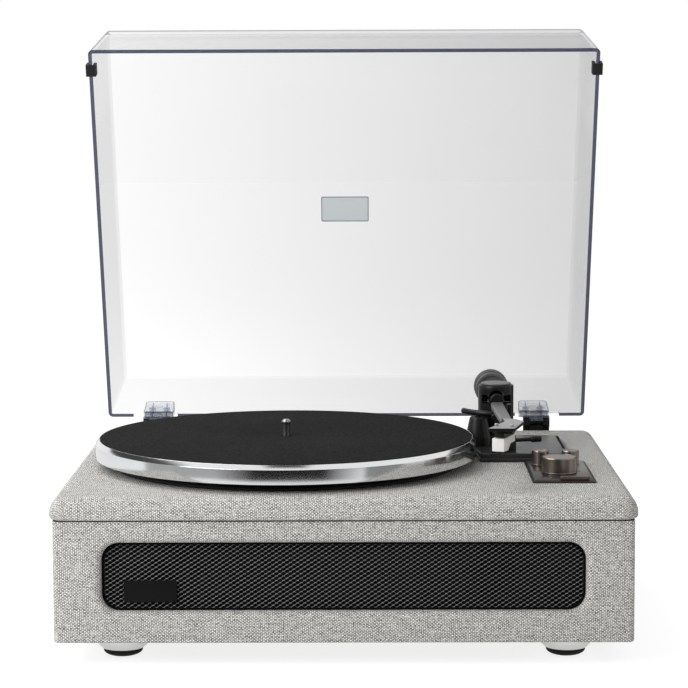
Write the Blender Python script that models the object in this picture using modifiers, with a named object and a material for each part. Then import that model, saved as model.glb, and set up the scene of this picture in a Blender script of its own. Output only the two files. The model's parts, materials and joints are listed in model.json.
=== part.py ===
"""Record player: cloth-wrapped cabinet with a belt-driven platter, a straight tonearm,
three knobs, a speaker grille and a clear hinged dust cover. Metres, +Z up, front at -Y."""

import math

import bmesh
import bpy
from mathutils import Matrix

# Fits
FIT = 0.0003
OVERRUN = 0.002

# The platter, and the board's margins round it, which set the board's size
PLATTER_RADIUS = 0.1483
PLATTER_MARGIN_LEFT = 0.0180
PLATTER_MARGIN_FRONT = 0.0125
PLATTER_MARGIN_REAR = 0.0309
ARM_STRIP_WIDTH = 0.1094

# Cabinet and top board
BOARD_WIDTH = PLATTER_MARGIN_LEFT + 2 * PLATTER_RADIUS + ARM_STRIP_WIDTH
BOARD_DEPTH = PLATTER_MARGIN_FRONT + 2 * PLATTER_RADIUS + PLATTER_MARGIN_REAR
BOARD_RIGHT = BOARD_WIDTH / 2
BOARD_FRONT = -BOARD_DEPTH / 2
BOARD_REAR = BOARD_DEPTH / 2
BOARD_THICKNESS = 0.0174
BOARD_CORNER = 0.012
BOARD_TOP_ROUND = 0.010
BOARD_LOW_ROUND = 0.003
OVERHANG = 0.0027
BODY_HEIGHT = 0.0887
BODY_CORNER = 0.004
BODY_LOW_ROUND = 0.0015
WALL = 0.012
BOTTOM_THICKNESS = 0.006
FOOT_HEIGHT = 0.018
BODY_WIDTH = BOARD_WIDTH - 2 * OVERHANG
BODY_DEPTH = BOARD_DEPTH - 2 * OVERHANG
DECK_HEIGHT = FOOT_HEIGHT + BODY_HEIGHT + FIT + BOARD_THICKNESS

# Feet
FOOT_INSET_X = 0.049
FOOT_INSET_Y = 0.043
FOOT_SPACING_X = BOARD_WIDTH - 2 * FOOT_INSET_X
FOOT_SPACING_Y = BOARD_DEPTH - 2 * FOOT_INSET_Y
FOOT_TOP_RADIUS = 0.0195
FOOT_LOW_RADIUS = 0.0146
PAD_RADIUS = 0.0143
PAD_HEIGHT = 0.0055
PAD_SIDE_SHARES = [(0, 1), (1, 1), (0.93, 0.6), (0.74, 0.25), (0.48, 0.06), (0.24, 0), (0, 0)]
FOOT_SIDE_SHARES = [(1, 1), (1, 0.93), (0.93, 0.6), (0, 0)]

# Front opening, grille and speakers
OPENING_MARGIN = 0.0375
OPENING_WIDTH = BOARD_WIDTH - 2 * OPENING_MARGIN
OPENING_HEIGHT = 0.050
OPENING_CORNER = 0.013
OPENING_ROLL = 0.005
OPENING_MIDDLE = 0.067
GRILLE_SETBACK = 0.006
GRILLE_THICKNESS = 0.0012
GRILLE_BORDER = 0.0035
GRILLE_COLUMNS = 18
GRILLE_ROWS = 4
STRAND_SHARE = 0.17
BAFFLE_WIDTH = OPENING_WIDTH + 0.023
BAFFLE_HEIGHT = OPENING_HEIGHT + 0.016
BAFFLE_THICKNESS = 0.004
SPEAKER_SPACING = 0.230
SPEAKER_RADIUS = 0.029
SPEAKER_DEPTH = 0.028
SPEAKER_HOLE_RADIUS = 0.0235
SPEAKER_SIDE_SHARES = [(0, -0.20), (0.22, -0.23), (0.31, -0.32), (0.73, -0.04), (0.81, 0), (1, 0), (1, -0.07),
                       (0.81, -0.14), (0.55, -0.57), (0.69, -0.57), (0.69, -1), (0, -1)]

# Rear jack panel
JACK_PANEL_WIDTH = 0.124
JACK_PANEL_HEIGHT = 0.042
JACK_PANEL_THICKNESS = 0.002
JACK_PLUG_WIDTH = 0.110
JACK_PLUG_HEIGHT = 0.030
JACK_PANEL_MIDDLE = 0.060
PHONO_SPACING = 0.014
PHONO_X = 0.034
PHONO_RADIUS = 0.0042
PHONO_REACH = 0.008
PHONO_BACK = 0.008
PHONO_BORE = 0.0017
INLET_X = -0.012
INLET_RADIUS = 0.0052
INLET_BORE = 0.0029
INLET_DEPTH = 0.011
ROCKER_X = -0.040
ROCKER_WIDTH = 0.013
ROCKER_HEIGHT = 0.019
ROCKER_DEPTH = 0.007
ROCKER_THROW = math.radians(16)

# Platter drive
SPINDLE_X = PLATTER_MARGIN_LEFT + PLATTER_RADIUS - BOARD_RIGHT
SPINDLE_Y = PLATTER_MARGIN_FRONT + PLATTER_RADIUS + BOARD_FRONT
PLATTER_RIM_TOP = 0.0211
PLATTER_BAND_TOP = 0.0178
PLATTER_UNDERSIDE = 0.0068
PLATTER_SEAT = 0.0199
PLATTER_WEB = 0.003
PLATTER_RIM_WALL = 0.0037
PLATTER_LIP = 0.0006
PLATTER_CHAMFER = 0.0006
MAT_RADIUS = PLATTER_RADIUS - 0.0035
MAT_THICKNESS = 0.0012
SHAFT_RADIUS = 0.0036
NECK_RADIUS = 0.0028
SPINDLE_TOP = 0.0344
SPINDLE_HEAD = 0.0038
SPINDLE_DOME = 0.0018
SPINDLE_DOME_STEPS = 3
COLLAR_RADIUS = 0.0085
COLLAR_THICKNESS = 0.0013
BUSH_RADIUS = 0.009
BUSH_FLANGE_RADIUS = 0.014
BUSH_FLANGE_THICKNESS = 0.0015
BUSH_DEPTH = 0.024
BUSH_FLOOR = 0.003
SUB_RADIUS = PLATTER_RADIUS - 0.0483
SUB_WALL = 0.003
SUB_HUB_RADIUS = 0.012
SUB_BAND_LOW = 0.0042
TRAY_RADIUS = PLATTER_RADIUS - 0.0133
TRAY_THICKNESS = 0.0015
TRAY_LIP_WIDTH = 0.003
TRAY_LIP_HEIGHT = 0.0012
MOTOR_REACH = SUB_RADIUS + 0.022
MOTOR_BEARING = math.radians(135)
MOTOR_RADIUS = 0.0175
MOTOR_HEIGHT = 0.022
MOTOR_FLANGE_RADIUS = 0.0205
MOTOR_FLANGE_THICKNESS = 0.0012
MOTOR_BORE = 0.0016
MOTOR_BORE_DEPTH = 0.008
MOTOR_SHAFT_RADIUS = 0.0012
PULLEY_RADIUS = 0.0055
PULLEY_FLANGE = 0.0018
PULLEY_LOW = 0.0034
PULLEY_HIGH = 0.0112
BELT_LOW = 0.0050
BELT_HIGH = 0.0098
BELT_THICKNESS = 0.0008

# Tonearm base and column
ARM_HEIGHT = 0.0414
BASE_PLATTER_CLEARANCE = 0.003
BASE_LEFT_SHARE = 0.92
BASE_RIGHT = BOARD_RIGHT - 0.0334
BASE_LEFT = SPINDLE_X + BASE_LEFT_SHARE * (PLATTER_RADIUS + BASE_PLATTER_CLEARANCE)
BASE_FRONT = SPINDLE_Y - 0.0028
BASE_REAR = BASE_FRONT + 0.106
PIVOT_X = BASE_RIGHT - 0.0566
PIVOT_Y = BASE_REAR - 0.032
BASE_CORNER = 0.008
BASE_SMALL_CORNER = 0.003
BASE_FLANGE_HEIGHT = 0.003
BASE_HEIGHT = 0.0065
BASE_STEP = 0.0032
COLUMN_FOOT_RADIUS = 0.0165
COLUMN_RADIUS = 0.0130
COLUMN_TOP = 0.0197
COLUMN_BORE = 0.0045
FLARE_STEPS = 4
YOKE_RADIUS = 0.0143
YOKE_TOP = 0.0523
YOKE_CHAMFER = 0.0012
YOKE_STEM_RADIUS = 0.0040
YOKE_STEM_LENGTH = 0.010
YOKE_BORE = 0.0074
YOKE_SLOT_WIDTH = 0.0232
YOKE_SLOT_HEIGHT = 0.0068
CAP_RADIUS = 0.0122
CAP_THICKNESS = 0.0012
PIN_RADIUS = 0.0014
PIN_LENGTH = 0.0270

# Arm, headshell, cartridge and counterweight
HUB_RADIUS = 0.0062
HUB_HALF = 0.007
HUB_NECK = 0.0044
HUB_RING = 0.0054
HUB_FRONT = 0.018
HUB_SIDE_SHARES = [(0.82, 1), (1, 0.99), (1, 0.8), (0.82, 0.72), (0.82, 0.6), (1, 0.5)]
REAR_SHAFT_RADIUS = 0.0030
REAR_SHAFT_END = 0.082
WAND_START_WIDTH = 0.0104
WAND_START_HEIGHT = 0.0056
WAND_START_DROP = 0.0042
WAND_END_WIDTH = 0.0090
WAND_END_HEIGHT = 0.0050
WAND_END_RISE = 0.0001
WAND_END = 0.143
SHELL_WIDTH = 0.0197
SHELL_LENGTH = 0.0525
SHELL_THICKNESS = 0.0022
SHELL_TOP = 0.0029
SHELL_OUTLINE_SHARES = [(-0.16, 0), (-0.14, 0.29), (-0.85, 0.97), (-0.80, 0.99),
                        (0.10, 1.0), (0.15, 0.98), (0.61, 0.29), (0.58, 0.22), (0.30, 0)]
CARTRIDGE_YAW = math.radians(22)
CARTRIDGE_REACH = 0.190
CARTRIDGE_SHIFT = -0.0092
CARTRIDGE_WIDTH = 0.0092
CARTRIDGE_LENGTH = 0.026
CARTRIDGE_HEIGHT = 0.0156
CARTRIDGE_SIDE_SHARES = [(0, 0.02), (0.40, 0), (0.44, 0.10), (0.60, 0.32), (1.0, 0.34), (1.0, 1.0),
                         (0.42, 1.0), (0.40, 0.82), (0.24, 0.72), (0, 0.70)]
CARTRIDGE_EAR_WIDTH = 0.0156
CARTRIDGE_EAR_LENGTH = 0.012
CARTRIDGE_EAR_HEIGHT = 0.0028
CARTRIDGE_BEVEL = 0.0004
STYLUS_RADIUS = 0.0011
STYLUS_TIP_RADIUS = 0.0002
STYLUS_DROP = 0.0021
STYLUS_SETBACK = 0.006
STYLUS_RAKE = 0.003
WEIGHT_RADIUS = 0.0142
WEIGHT_LENGTH = 0.0180
WEIGHT_BORE = 0.0058
WEIGHT_CHAMFER = 0.0008
DIAL_RADIUS = 0.0138
DIAL_LENGTH = 0.0035
DIAL_FRONT = 0.056
BUSH_BORE_CLEARANCE = 0.0004
WEIGHT_BUSH_RADIUS = 0.0055
WEIGHT_TRAVEL = 0.003

# Arm rest, lift and cue lever
REST_REACH = 0.060
REST_WIDTH = 0.0150
REST_LIP = 0.0006
REST_DEPTH = 0.006
REST_POST_WIDTH = 0.007
REST_FOOT_WIDTH = 0.0126
REST_SHELF_THICKNESS = 0.003
REST_PRONG_WIDTH = 0.0028
REST_PRONG_HEIGHT = 0.0085
LIFT_REACH = 0.028
LIFT_BEARING = math.radians(33)
LIFT_FOOT_RADIUS = 0.0104
LIFT_TOP_RADIUS = 0.0062
LIFT_TOP = 0.0272
LIFT_SIDE_SHARES = [(1.0, 0), (0.93, 0.28), (0.74, 0.62), (0.63, 0.88), (0.596, 1.0)]
LIFT_BORE = 0.0024
LIFT_BORE_DEPTH = 0.014
PISTON_RADIUS = 0.0020
PISTON_LENGTH = 0.0165
LIFT_BAR_RADIUS = 0.0024
LIFT_BAR_FIRST = math.radians(-3)
LIFT_BAR_LAST = math.radians(74)
LIFT_BAR_POINTS = 9
LEVER_X = PIVOT_X + 0.0092
LEVER_Y = PIVOT_Y - 0.050
LEVER_HEIGHT = 0.0138
LEVER_BARREL_RADIUS = 0.0034
LEVER_BARREL_LENGTH = 0.0052
LEVER_TRUNNION_RADIUS = 0.0014
LEVER_TRUNNION_LENGTH = 0.0014
LEVER_ROD_RADIUS = 0.0016
LEVER_GRIP_RADIUS = 0.0025
LEVER_ROD_LENGTH = 0.0160
LEVER_LENGTH = 0.0242
LEVER_RISE = math.radians(3)
EAR_THICKNESS = 0.0020
EAR_WIDTH = 0.0076

# Control plate and knobs
PLATE_WIDTH = 0.0473
PLATE_DEPTH = 0.096
PLATE_RIGHT = BOARD_RIGHT - 0.025
PLATE_LEFT = PLATE_RIGHT - PLATE_WIDTH
PLATE_REAR = BASE_FRONT - 0.0025
PLATE_FRONT = PLATE_REAR - PLATE_DEPTH
PLATE_CORNER = 0.0020
PLATE_THICKNESS = 0.0019
PLATE_BEVEL = 0.0011
VOLUME_X = PLATE_LEFT + 0.0226
VOLUME_Y = PLATE_FRONT + 0.0378
VOLUME_RADIUS = 0.0133
VOLUME_HEIGHT = 0.0118
SMALL_KNOB_Y = VOLUME_Y + 0.0353
MODE_X = PLATE_LEFT + 0.0110
TONE_X = PLATE_LEFT + 0.0339
SMALL_KNOB_RADIUS = 0.0066
SMALL_KNOB_HEIGHT = 0.0112
KNOB_SKIRT = 0.0006
KNOB_CHAMFER = 0.0010
KNOB_DISH = 0.0003
KNOB_SHAFT_RADIUS = 0.0030
KNOB_SHAFT_LENGTH = 0.0100
KNOB_PLACES = ((VOLUME_X, VOLUME_Y), (MODE_X, SMALL_KNOB_Y), (TONE_X, SMALL_KNOB_Y))
CONTROL_POCKET_MARGIN = 0.002
POT_WIDTH = 0.013
POT_HEIGHT = 0.009
AMP_THICKNESS = 0.0016
HEATSINK_Y = VOLUME_Y + 0.0127
HEATSINK_WIDTH = 0.032
HEATSINK_DEPTH = 0.012
HEATSINK_HEIGHT = 0.022
HEATSINK_FINS = 6
SLIDE_X = PLATE_LEFT + 0.0314
SLIDE_Y = PLATE_FRONT + 0.0042
SLIDE_WIDTH = 0.0218
SLIDE_DEPTH = 0.0036
SLIDE_HEIGHT = 0.0018
SLIDE_STEM_WIDTH = 0.0050
SLIDE_STEM_DEPTH = 0.0016
SLIDE_STEM_LENGTH = 0.004
SLIDE_TRAVEL = 0.004

# Dust cover, hinges and bumpers
LID_OPEN = math.radians(69.8)
LID_INSET = 0.0087
LID_WIDTH = BOARD_WIDTH - 2 * LID_INSET
LID_DEPTH = BOARD_DEPTH - 0.010
LID_HEIGHT = 0.071
LID_WALL = 0.0030
LID_SIDE_DRAFT = 0.0073
LID_FRONT_DRAFT = 0.0073
LID_REAR_DRAFT = 0.0018
LID_ROUND = 0.004
LID_GAP = 0.0012
LID_REAR = BOARD_REAR - 0.006
HINGE_Y = BOARD_REAR + 0.0015
HINGE_Z = 0.0073
HINGE_INSET = 0.0403
HINGE_SPACING = LID_WIDTH - 2 * HINGE_INSET
HINGE_WIDTH = 0.0224
KNUCKLE_WIDTH = 0.0108
KNUCKLE_RADIUS = 0.0042
HINGE_PIN_RADIUS = 0.0016
HINGE_PIN_REACH = 0.004
HINGE_PLATE_THICKNESS = 0.0036
HINGE_PLATE_DROP = 0.036
HINGE_PLATE_TOP = 0.0024
NOTCH_WIDTH = 0.0376
NOTCH_DEPTH = 0.0042
TONGUE_THICKNESS = 0.0020
TONGUE_LOW = 0.0021
TONGUE_REACH = 0.0200
POCKET_WIDTH = 0.0274
POCKET_DEPTH = 0.0064
POCKET_HEIGHT = 0.0200
POCKET_DRAFT_SHARE = 0.93
BUMPER_LENGTH = 0.0096
BUMPER_REACH = 0.0126
BUMPER_WIDTH = 0.0072
BUMPER_HEIGHT = 0.0060

# Facets round one turn
FINE_STEPS = 56
MIDDLE_STEPS = 32
SMALL_STEPS = 16
PIN_STEPS = 10
CORNER_STEPS = 4
SHARP_ANGLE = math.radians(35)


for old in list(bpy.data.objects):
    bpy.data.objects.remove(old)

parts = bpy.data.collections.new("record_player")
cutters = bpy.data.collections.new("cutters")
bpy.context.scene.collection.children.link(parts)
bpy.context.scene.collection.children.link(cutters)


def finish(name, colour, roughness, metallic, alpha=1.0):
    """A Principled material with one colour, roughness and metallic value."""
    material = bpy.data.materials.new(name)
    material.use_nodes = True
    shader = material.node_tree.nodes["Principled BSDF"]
    shader.inputs["Base Color"].default_value = (*colour, 1.0)
    shader.inputs["Roughness"].default_value = roughness
    shader.inputs["Metallic"].default_value = metallic
    shader.inputs["Alpha"].default_value = alpha
    return material


linen = finish("linen_wrap", (0.52, 0.50, 0.47), 0.9, 0.0)
board_stock = finish("plain_board", (0.10, 0.09, 0.08), 0.8, 0.0)
mesh_black = finish("black_steel_mesh", (0.020, 0.020, 0.021), 0.45, 0.6)
black_plastic = finish("black_plastic", (0.018, 0.018, 0.019), 0.5, 0.0)
arm_black = finish("arm_black", (0.035, 0.035, 0.037), 0.35, 0.3)
arm_grey = finish("arm_grey", (0.17, 0.17, 0.17), 0.4, 0.6)
polished = finish("polished_metal", (0.78, 0.78, 0.77), 0.16, 1.0)
silver = finish("silver_ring", (0.72, 0.72, 0.71), 0.28, 1.0)
brass = finish("brass", (0.70, 0.55, 0.30), 0.3, 1.0)
felt = finish("black_felt", (0.016, 0.016, 0.017), 0.95, 0.0)
rubber = finish("black_rubber", (0.012, 0.012, 0.012), 0.8, 0.0)
bronze = finish("bronze_metal", (0.105, 0.082, 0.072), 0.3, 0.9)
pale_shell = finish("cartridge_shell", (0.74, 0.73, 0.70), 0.45, 0.0)
circuit = finish("circuit_board", (0.05, 0.16, 0.08), 0.5, 0.0)
clear = finish("clear_plastic", (0.92, 0.94, 0.96), 0.05, 0.0, 0.25)


def empty(name, parent, place=(0, 0, 0), turn=(0, 0, 0)):
    """A named frame that carries other pieces."""
    holder = bpy.data.objects.new(name, None)
    parts.objects.link(holder)
    holder.parent = parent
    holder.location = place
    holder.rotation_euler = turn
    return holder


def add_part(name, mesh, material, parent, place=(0, 0, 0), turn=(0, 0, 0)):
    """Link a mesh as a named part under its frame."""
    part = bpy.data.objects.new(name, mesh)
    parts.objects.link(part)
    part.parent = parent
    part.location = place
    part.rotation_euler = turn
    mesh.name = name
    mesh.materials.clear()
    mesh.materials.append(material)
    return part


def combine(part, mesh, operation):
    """Boolean a second shape, given in the part's own frame, with the part."""
    tool = bpy.data.objects.new(part.name + "_tool", mesh)
    cutters.objects.link(tool)
    tool.parent = part
    tool.hide_render = True
    tool.display_type = "WIRE"
    boolean = part.modifiers.new(operation.lower(), "BOOLEAN")
    boolean.operation = operation
    boolean.object = tool


def cut(part, mesh):
    combine(part, mesh, "DIFFERENCE")


def join(part, mesh):
    combine(part, mesh, "UNION")


def mesh_from(bm):
    """Store a working mesh with its faces pointing out, smooth but for its sharp edges."""
    bmesh.ops.recalc_face_normals(bm, faces=bm.faces)
    mesh = bpy.data.meshes.new("shape")
    bm.to_mesh(mesh)
    bm.free()
    return smoothed(mesh)


def smoothed(mesh):
    mesh.shade_smooth()
    mesh.set_sharp_from_angle(angle=SHARP_ANGLE)
    return mesh


def box(low, high):
    """A box between two corners."""
    size = [b - a for a, b in zip(low, high)]
    middle = [(a + b) / 2 for a, b in zip(low, high)]
    bm = bmesh.new()
    bmesh.ops.create_cube(bm, size=1, matrix=Matrix.Translation(middle) @ Matrix.Diagonal((*size, 1)))
    return mesh_from(bm)


def rounded(mesh, chosen, width, steps=2):
    """Round the edges whose two ends the test picks."""
    bm = bmesh.new()
    bm.from_mesh(mesh)
    edges = [edge for edge in bm.edges if chosen(edge.verts[0].co, edge.verts[1].co)]
    bmesh.ops.bevel(bm, geom=edges, offset=width, segments=steps, profile=0.5, affect="EDGES",
                    clamp_overlap=True)
    bm.to_mesh(mesh)
    bm.free()
    return smoothed(mesh)


def upright(a, b):
    """True for an edge that runs up and down."""
    return abs(a.x - b.x) < FIT and abs(a.y - b.y) < FIT


def level_at(height):
    """A test for edges that lie flat at one height."""
    return lambda a, b: abs(a.z - height) < FIT and abs(b.z - height) < FIT


def turned(outline, steps, closed=False):
    """A profile of radius and height pairs for a Screw, down its outer side."""
    mesh = bpy.data.meshes.new("profile")
    links = [(i, i + 1) for i in range(len(outline) - 1)]
    if closed:
        links.append((len(outline) - 1, 0))
    mesh.from_pydata([(radius, 0, height) for radius, height in outline], links, [])
    return mesh, steps


def add_turned(name, profile, material, parent, place=(0, 0, 0), turn=(0, 0, 0)):
    """A turned part: the profile swept once round its own Z axis."""
    mesh, steps = profile
    part = add_part(name, mesh, material, parent, place, turn)
    screw = part.modifiers.new("turn", "SCREW")
    screw.steps = screw.render_steps = steps
    screw.use_merge_vertices = True
    screw.merge_threshold = 0.00001
    screw.use_smooth_shade = True
    return part


def round_bar(radius, low, high, steps=SMALL_STEPS):
    """A plain cylinder along Z, for bores and pins."""
    bm = bmesh.new()
    place = Matrix.Translation((0, 0, (low + high) / 2))
    bmesh.ops.create_cone(bm, cap_ends=True, segments=steps, radius1=radius, radius2=radius,
                          depth=high - low, matrix=place)
    return mesh_from(bm)


def moved(mesh, x=0, y=0, z=0):
    mesh.transform(Matrix.Translation((x, y, z)))
    return mesh


def along_x(mesh):
    """Turn a solid drawn in X and Y and built up in Z so that it is drawn in Y and Z, built along X."""
    mesh.transform(Matrix(((0, 0, 1, 0), (1, 0, 0, 0), (0, 1, 0, 0), (0, 0, 0, 1))))
    return mesh


def along_y(mesh):
    """The same for a solid drawn in X and Z and built along -Y."""
    mesh.transform(Matrix.Rotation(math.pi / 2, 4, "X"))
    return mesh


def circle(radius, steps, x=0.0, y=0.0):
    """Points round a circle."""
    turns = [2 * math.pi * i / steps for i in range(steps)]
    return [(x + radius * math.cos(t), y + radius * math.sin(t)) for t in turns]


def arc(x, y, radius, first, last, steps):
    """Points along an arc, both ends included."""
    turns = [first + (last - first) * i / steps for i in range(steps + 1)]
    return [(x + radius * math.cos(t), y + radius * math.sin(t)) for t in turns]


def rounded_rectangle(left, right, low, high, radius, steps=CORNER_STEPS):
    """A rectangle outline with an arc at each corner."""
    corners = [(right - radius, high - radius), (left + radius, high - radius),
               (left + radius, low + radius), (right - radius, low + radius)]
    outline = []
    for quarter, (x, y) in enumerate(corners):
        first = quarter * math.pi / 2
        outline += arc(x, y, radius, first, first + math.pi / 2, steps)
    return outline


def plate(outlines, low, high):
    """A flat solid from a filled outline; further outlines are its holes."""
    curve = bpy.data.curves.new("outline", "CURVE")
    curve.dimensions = "2D"
    curve.fill_mode = "BOTH"
    curve.extrude = (high - low) / 2
    for outline in outlines:
        spline = curve.splines.new("POLY")
        spline.points.add(len(outline) - 1)
        for point, (x, y) in zip(spline.points, outline):
            point.co = (x, y, 0, 1)
        spline.use_cyclic_u = True
    guide = bpy.data.objects.new("outline", curve)
    parts.objects.link(guide)
    mesh = solid_of(guide)
    return moved(mesh, z=(low + high) / 2)


def solid_of(guide):
    """The welded mesh of a curve object, which is then removed."""
    view = bpy.context.evaluated_depsgraph_get()
    mesh = bpy.data.meshes.new_from_object(guide.evaluated_get(view))
    bpy.data.objects.remove(guide)
    bm = bmesh.new()
    bm.from_mesh(mesh)
    bmesh.ops.remove_doubles(bm, verts=bm.verts, dist=0.00001)
    return mesh_from(bm)


def rod(points, radii, depth, resolution=2):
    """A round rod along points, with a share of its depth as radius at each point."""
    curve = bpy.data.curves.new("rod", "CURVE")
    curve.dimensions = "3D"
    curve.bevel_depth = depth
    curve.bevel_resolution = resolution
    curve.use_fill_caps = True
    spline = curve.splines.new("POLY")
    spline.points.add(len(points) - 1)
    for point, place, share in zip(spline.points, points, radii):
        point.co = (*place, 1)
        point.radius = share
    guide = bpy.data.objects.new("rod", curve)
    parts.objects.link(guide)
    return solid_of(guide)


def loft(rings):
    """A closed skin through rings of as many points each, with flat ends."""
    bm = bmesh.new()
    rows = [[bm.verts.new(point) for point in ring] for ring in rings]
    count = len(rows[0])
    for near, far in zip(rows, rows[1:]):
        for i in range(count):
            bm.faces.new((near[i], near[(i + 1) % count], far[(i + 1) % count], far[i]))
    bm.faces.new(rows[0])
    bm.faces.new(rows[-1])
    return mesh_from(bm)


def clipped_section(width, height, y, z):
    """A rectangle across Y with its four corners clipped by a fifth of its height."""
    w, h, clip = width / 2, height / 2, height / 5
    corners = [(w, h - clip), (w - clip, h), (clip - w, h), (-w, h - clip),
               (-w, clip - h), (clip - w, -h), (w - clip, -h), (w, clip - h)]
    return [(x, y, z + up) for x, up in corners]


def scaled(shares, across, along):
    """An outline in shares of two sizes, made real."""
    return [(x * across, y * along) for x, y in shares]


stand = empty("stand", None)
deck = empty("deck", stand, (0, 0, DECK_HEIGHT))


# Cabinet

def opening_ring(growth, y):
    """The front opening's outline, grown all round, at one depth."""
    half_width = OPENING_WIDTH / 2 + growth
    half_height = OPENING_HEIGHT / 2 + growth
    outline = rounded_rectangle(-half_width, half_width, OPENING_MIDDLE - half_height,
                                OPENING_MIDDLE + half_height, OPENING_CORNER + growth)
    return [(x, y, z) for x, z in outline]


def rolled_opening():
    """A cutter for the front opening, whose cloth edge rolls in on a quarter circle."""
    front = -BODY_DEPTH / 2
    rings = [opening_ring(OPENING_ROLL, front - OVERRUN)]
    for i in range(CORNER_STEPS + 1):
        t = i * math.pi / 2 / CORNER_STEPS
        rings.append(opening_ring(OPENING_ROLL * (1 - math.sin(t)), front + OPENING_ROLL * (1 - math.cos(t))))
    rings.append(opening_ring(0, front + WALL + OVERRUN))
    return loft(rings)


def make_cabinet():
    """The wrapped shell, open above and below, and the bottom panel inside it."""
    half_x = BODY_WIDTH / 2
    half_y = BODY_DEPTH / 2
    low = FOOT_HEIGHT
    high = FOOT_HEIGHT + BODY_HEIGHT
    shape = box((-half_x, -half_y, low), (half_x, half_y, high))
    rounded(shape, upright, BODY_CORNER, 3)
    rounded(shape, level_at(low), BODY_LOW_ROUND, 2)
    shell = add_part("cabinet_shell", shape, linen, stand)
    cut(shell, box((WALL - half_x, WALL - half_y, low - OVERRUN), (half_x - WALL, half_y - WALL, high + OVERRUN)))
    cut(shell, rolled_opening())
    jack_x = JACK_PLUG_WIDTH / 2 + FIT
    jack_z = JACK_PLUG_HEIGHT / 2 + FIT
    cut(shell, box((-jack_x, half_y - WALL - OVERRUN, JACK_PANEL_MIDDLE - jack_z),
                   (jack_x, half_y + OVERRUN, JACK_PANEL_MIDDLE + jack_z)))
    inner_x = half_x - WALL - FIT
    inner_y = half_y - WALL - FIT
    panel = box((-inner_x, -inner_y, low), (inner_x, inner_y, low + BOTTOM_THICKNESS))
    add_part("bottom_panel", panel, board_stock, stand)


def make_top_board():
    """The wrapped board with a deep round along its top edges, bored for what passes through it."""
    half_x = BOARD_WIDTH / 2
    half_y = BOARD_DEPTH / 2
    shape = box((-half_x, -half_y, -BOARD_THICKNESS), (half_x, half_y, 0))
    rounded(shape, upright, BOARD_CORNER, CORNER_STEPS)
    rounded(shape, level_at(0), BOARD_TOP_ROUND, CORNER_STEPS)
    rounded(shape, level_at(-BOARD_THICKNESS), BOARD_LOW_ROUND, 2)
    board = add_part("top_board", shape, linen, deck)
    low = -BOARD_THICKNESS - OVERRUN
    motor_x, motor_y = motor_place()
    cut(board, moved(round_bar(BUSH_RADIUS + FIT, low, OVERRUN), SPINDLE_X, SPINDLE_Y))
    cut(board, moved(round_bar(MOTOR_FLANGE_RADIUS + FIT, low, OVERRUN), motor_x, motor_y))
    pocket = CONTROL_POCKET_MARGIN
    cut(board, box((PLATE_LEFT + pocket, PLATE_FRONT + pocket, low),
                   (PLATE_RIGHT - pocket, PLATE_REAR - pocket, OVERRUN)))


def make_feet():
    """Four flared silver rings, each with a domed rubber pad under it."""
    height = FOOT_HEIGHT - PAD_HEIGHT - 2 * FIT
    flare = FOOT_TOP_RADIUS - FOOT_LOW_RADIUS
    side = [(FOOT_LOW_RADIUS + out, up) for out, up in scaled(FOOT_SIDE_SHARES, flare, height)]
    ring = [(0, height)] + side + [(0, 0)]
    for name, side_x, side_y in (("front_left", -1, -1), ("front_right", 1, -1),
                                 ("rear_left", -1, 1), ("rear_right", 1, 1)):
        x = side_x * FOOT_SPACING_X / 2
        y = side_y * FOOT_SPACING_Y / 2
        add_turned("foot_ring_" + name, turned(ring, SMALL_STEPS + CORNER_STEPS), silver, stand,
                   (x, y, PAD_HEIGHT + FIT))
        pad = turned(scaled(PAD_SIDE_SHARES, PAD_RADIUS, PAD_HEIGHT), SMALL_STEPS + CORNER_STEPS)
        add_turned("foot_pad_" + name, pad, rubber, stand, (x, y, 0))


# Speaker front

def diamonds(half_x, half_y):
    """Diamond openings in staggered rows that fill a rectangle about its middle."""
    pitch_x = 2 * half_x / GRILLE_COLUMNS
    pitch_y = 2 * half_y / GRILLE_ROWS
    reach_x = pitch_x / 2 * (1 - STRAND_SHARE)
    reach_y = pitch_y / 2 * (1 - STRAND_SHARE)
    holes = []
    for row in range(2 * GRILLE_ROWS - 1):
        y = (row + 1) * pitch_y / 2 - half_y
        shift = 0.5 if row % 2 == 0 else 1.0
        count = GRILLE_COLUMNS if row % 2 == 0 else GRILLE_COLUMNS - 1
        for column in range(count):
            x = (column + shift) * pitch_x - half_x
            holes.append([(x + reach_x, y), (x, y + reach_y), (x - reach_x, y), (x, y - reach_y)])
    return holes


def make_grille():
    """The expanded-metal panel, set back in the front opening."""
    half_x = OPENING_WIDTH / 2 - FIT
    half_z = OPENING_HEIGHT / 2 - FIT
    outer = rounded_rectangle(-half_x, half_x, -half_z, half_z, OPENING_CORNER - FIT)
    holes = diamonds(half_x - GRILLE_BORDER, half_z - GRILLE_BORDER)
    shape = along_y(plate([outer] + holes, -GRILLE_THICKNESS, 0))
    front = GRILLE_SETBACK - BODY_DEPTH / 2
    add_part("speaker_grille", shape, mesh_black, stand, (0, front, OPENING_MIDDLE))


def make_baffle():
    """The dark board behind the front wall that carries the two speakers."""
    x = BAFFLE_WIDTH / 2
    z = BAFFLE_HEIGHT / 2
    outer = [(x, -z), (x, z), (-x, z), (-x, -z)]
    holes = [circle(SPEAKER_HOLE_RADIUS, SMALL_STEPS, side * SPEAKER_SPACING / 2) for side in (-1, 1)]
    shape = along_y(plate([outer] + holes, -BAFFLE_THICKNESS, 0))
    front = WALL + FIT - BODY_DEPTH / 2
    add_part("speaker_baffle", shape, board_stock, stand, (0, front, OPENING_MIDDLE))


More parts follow.
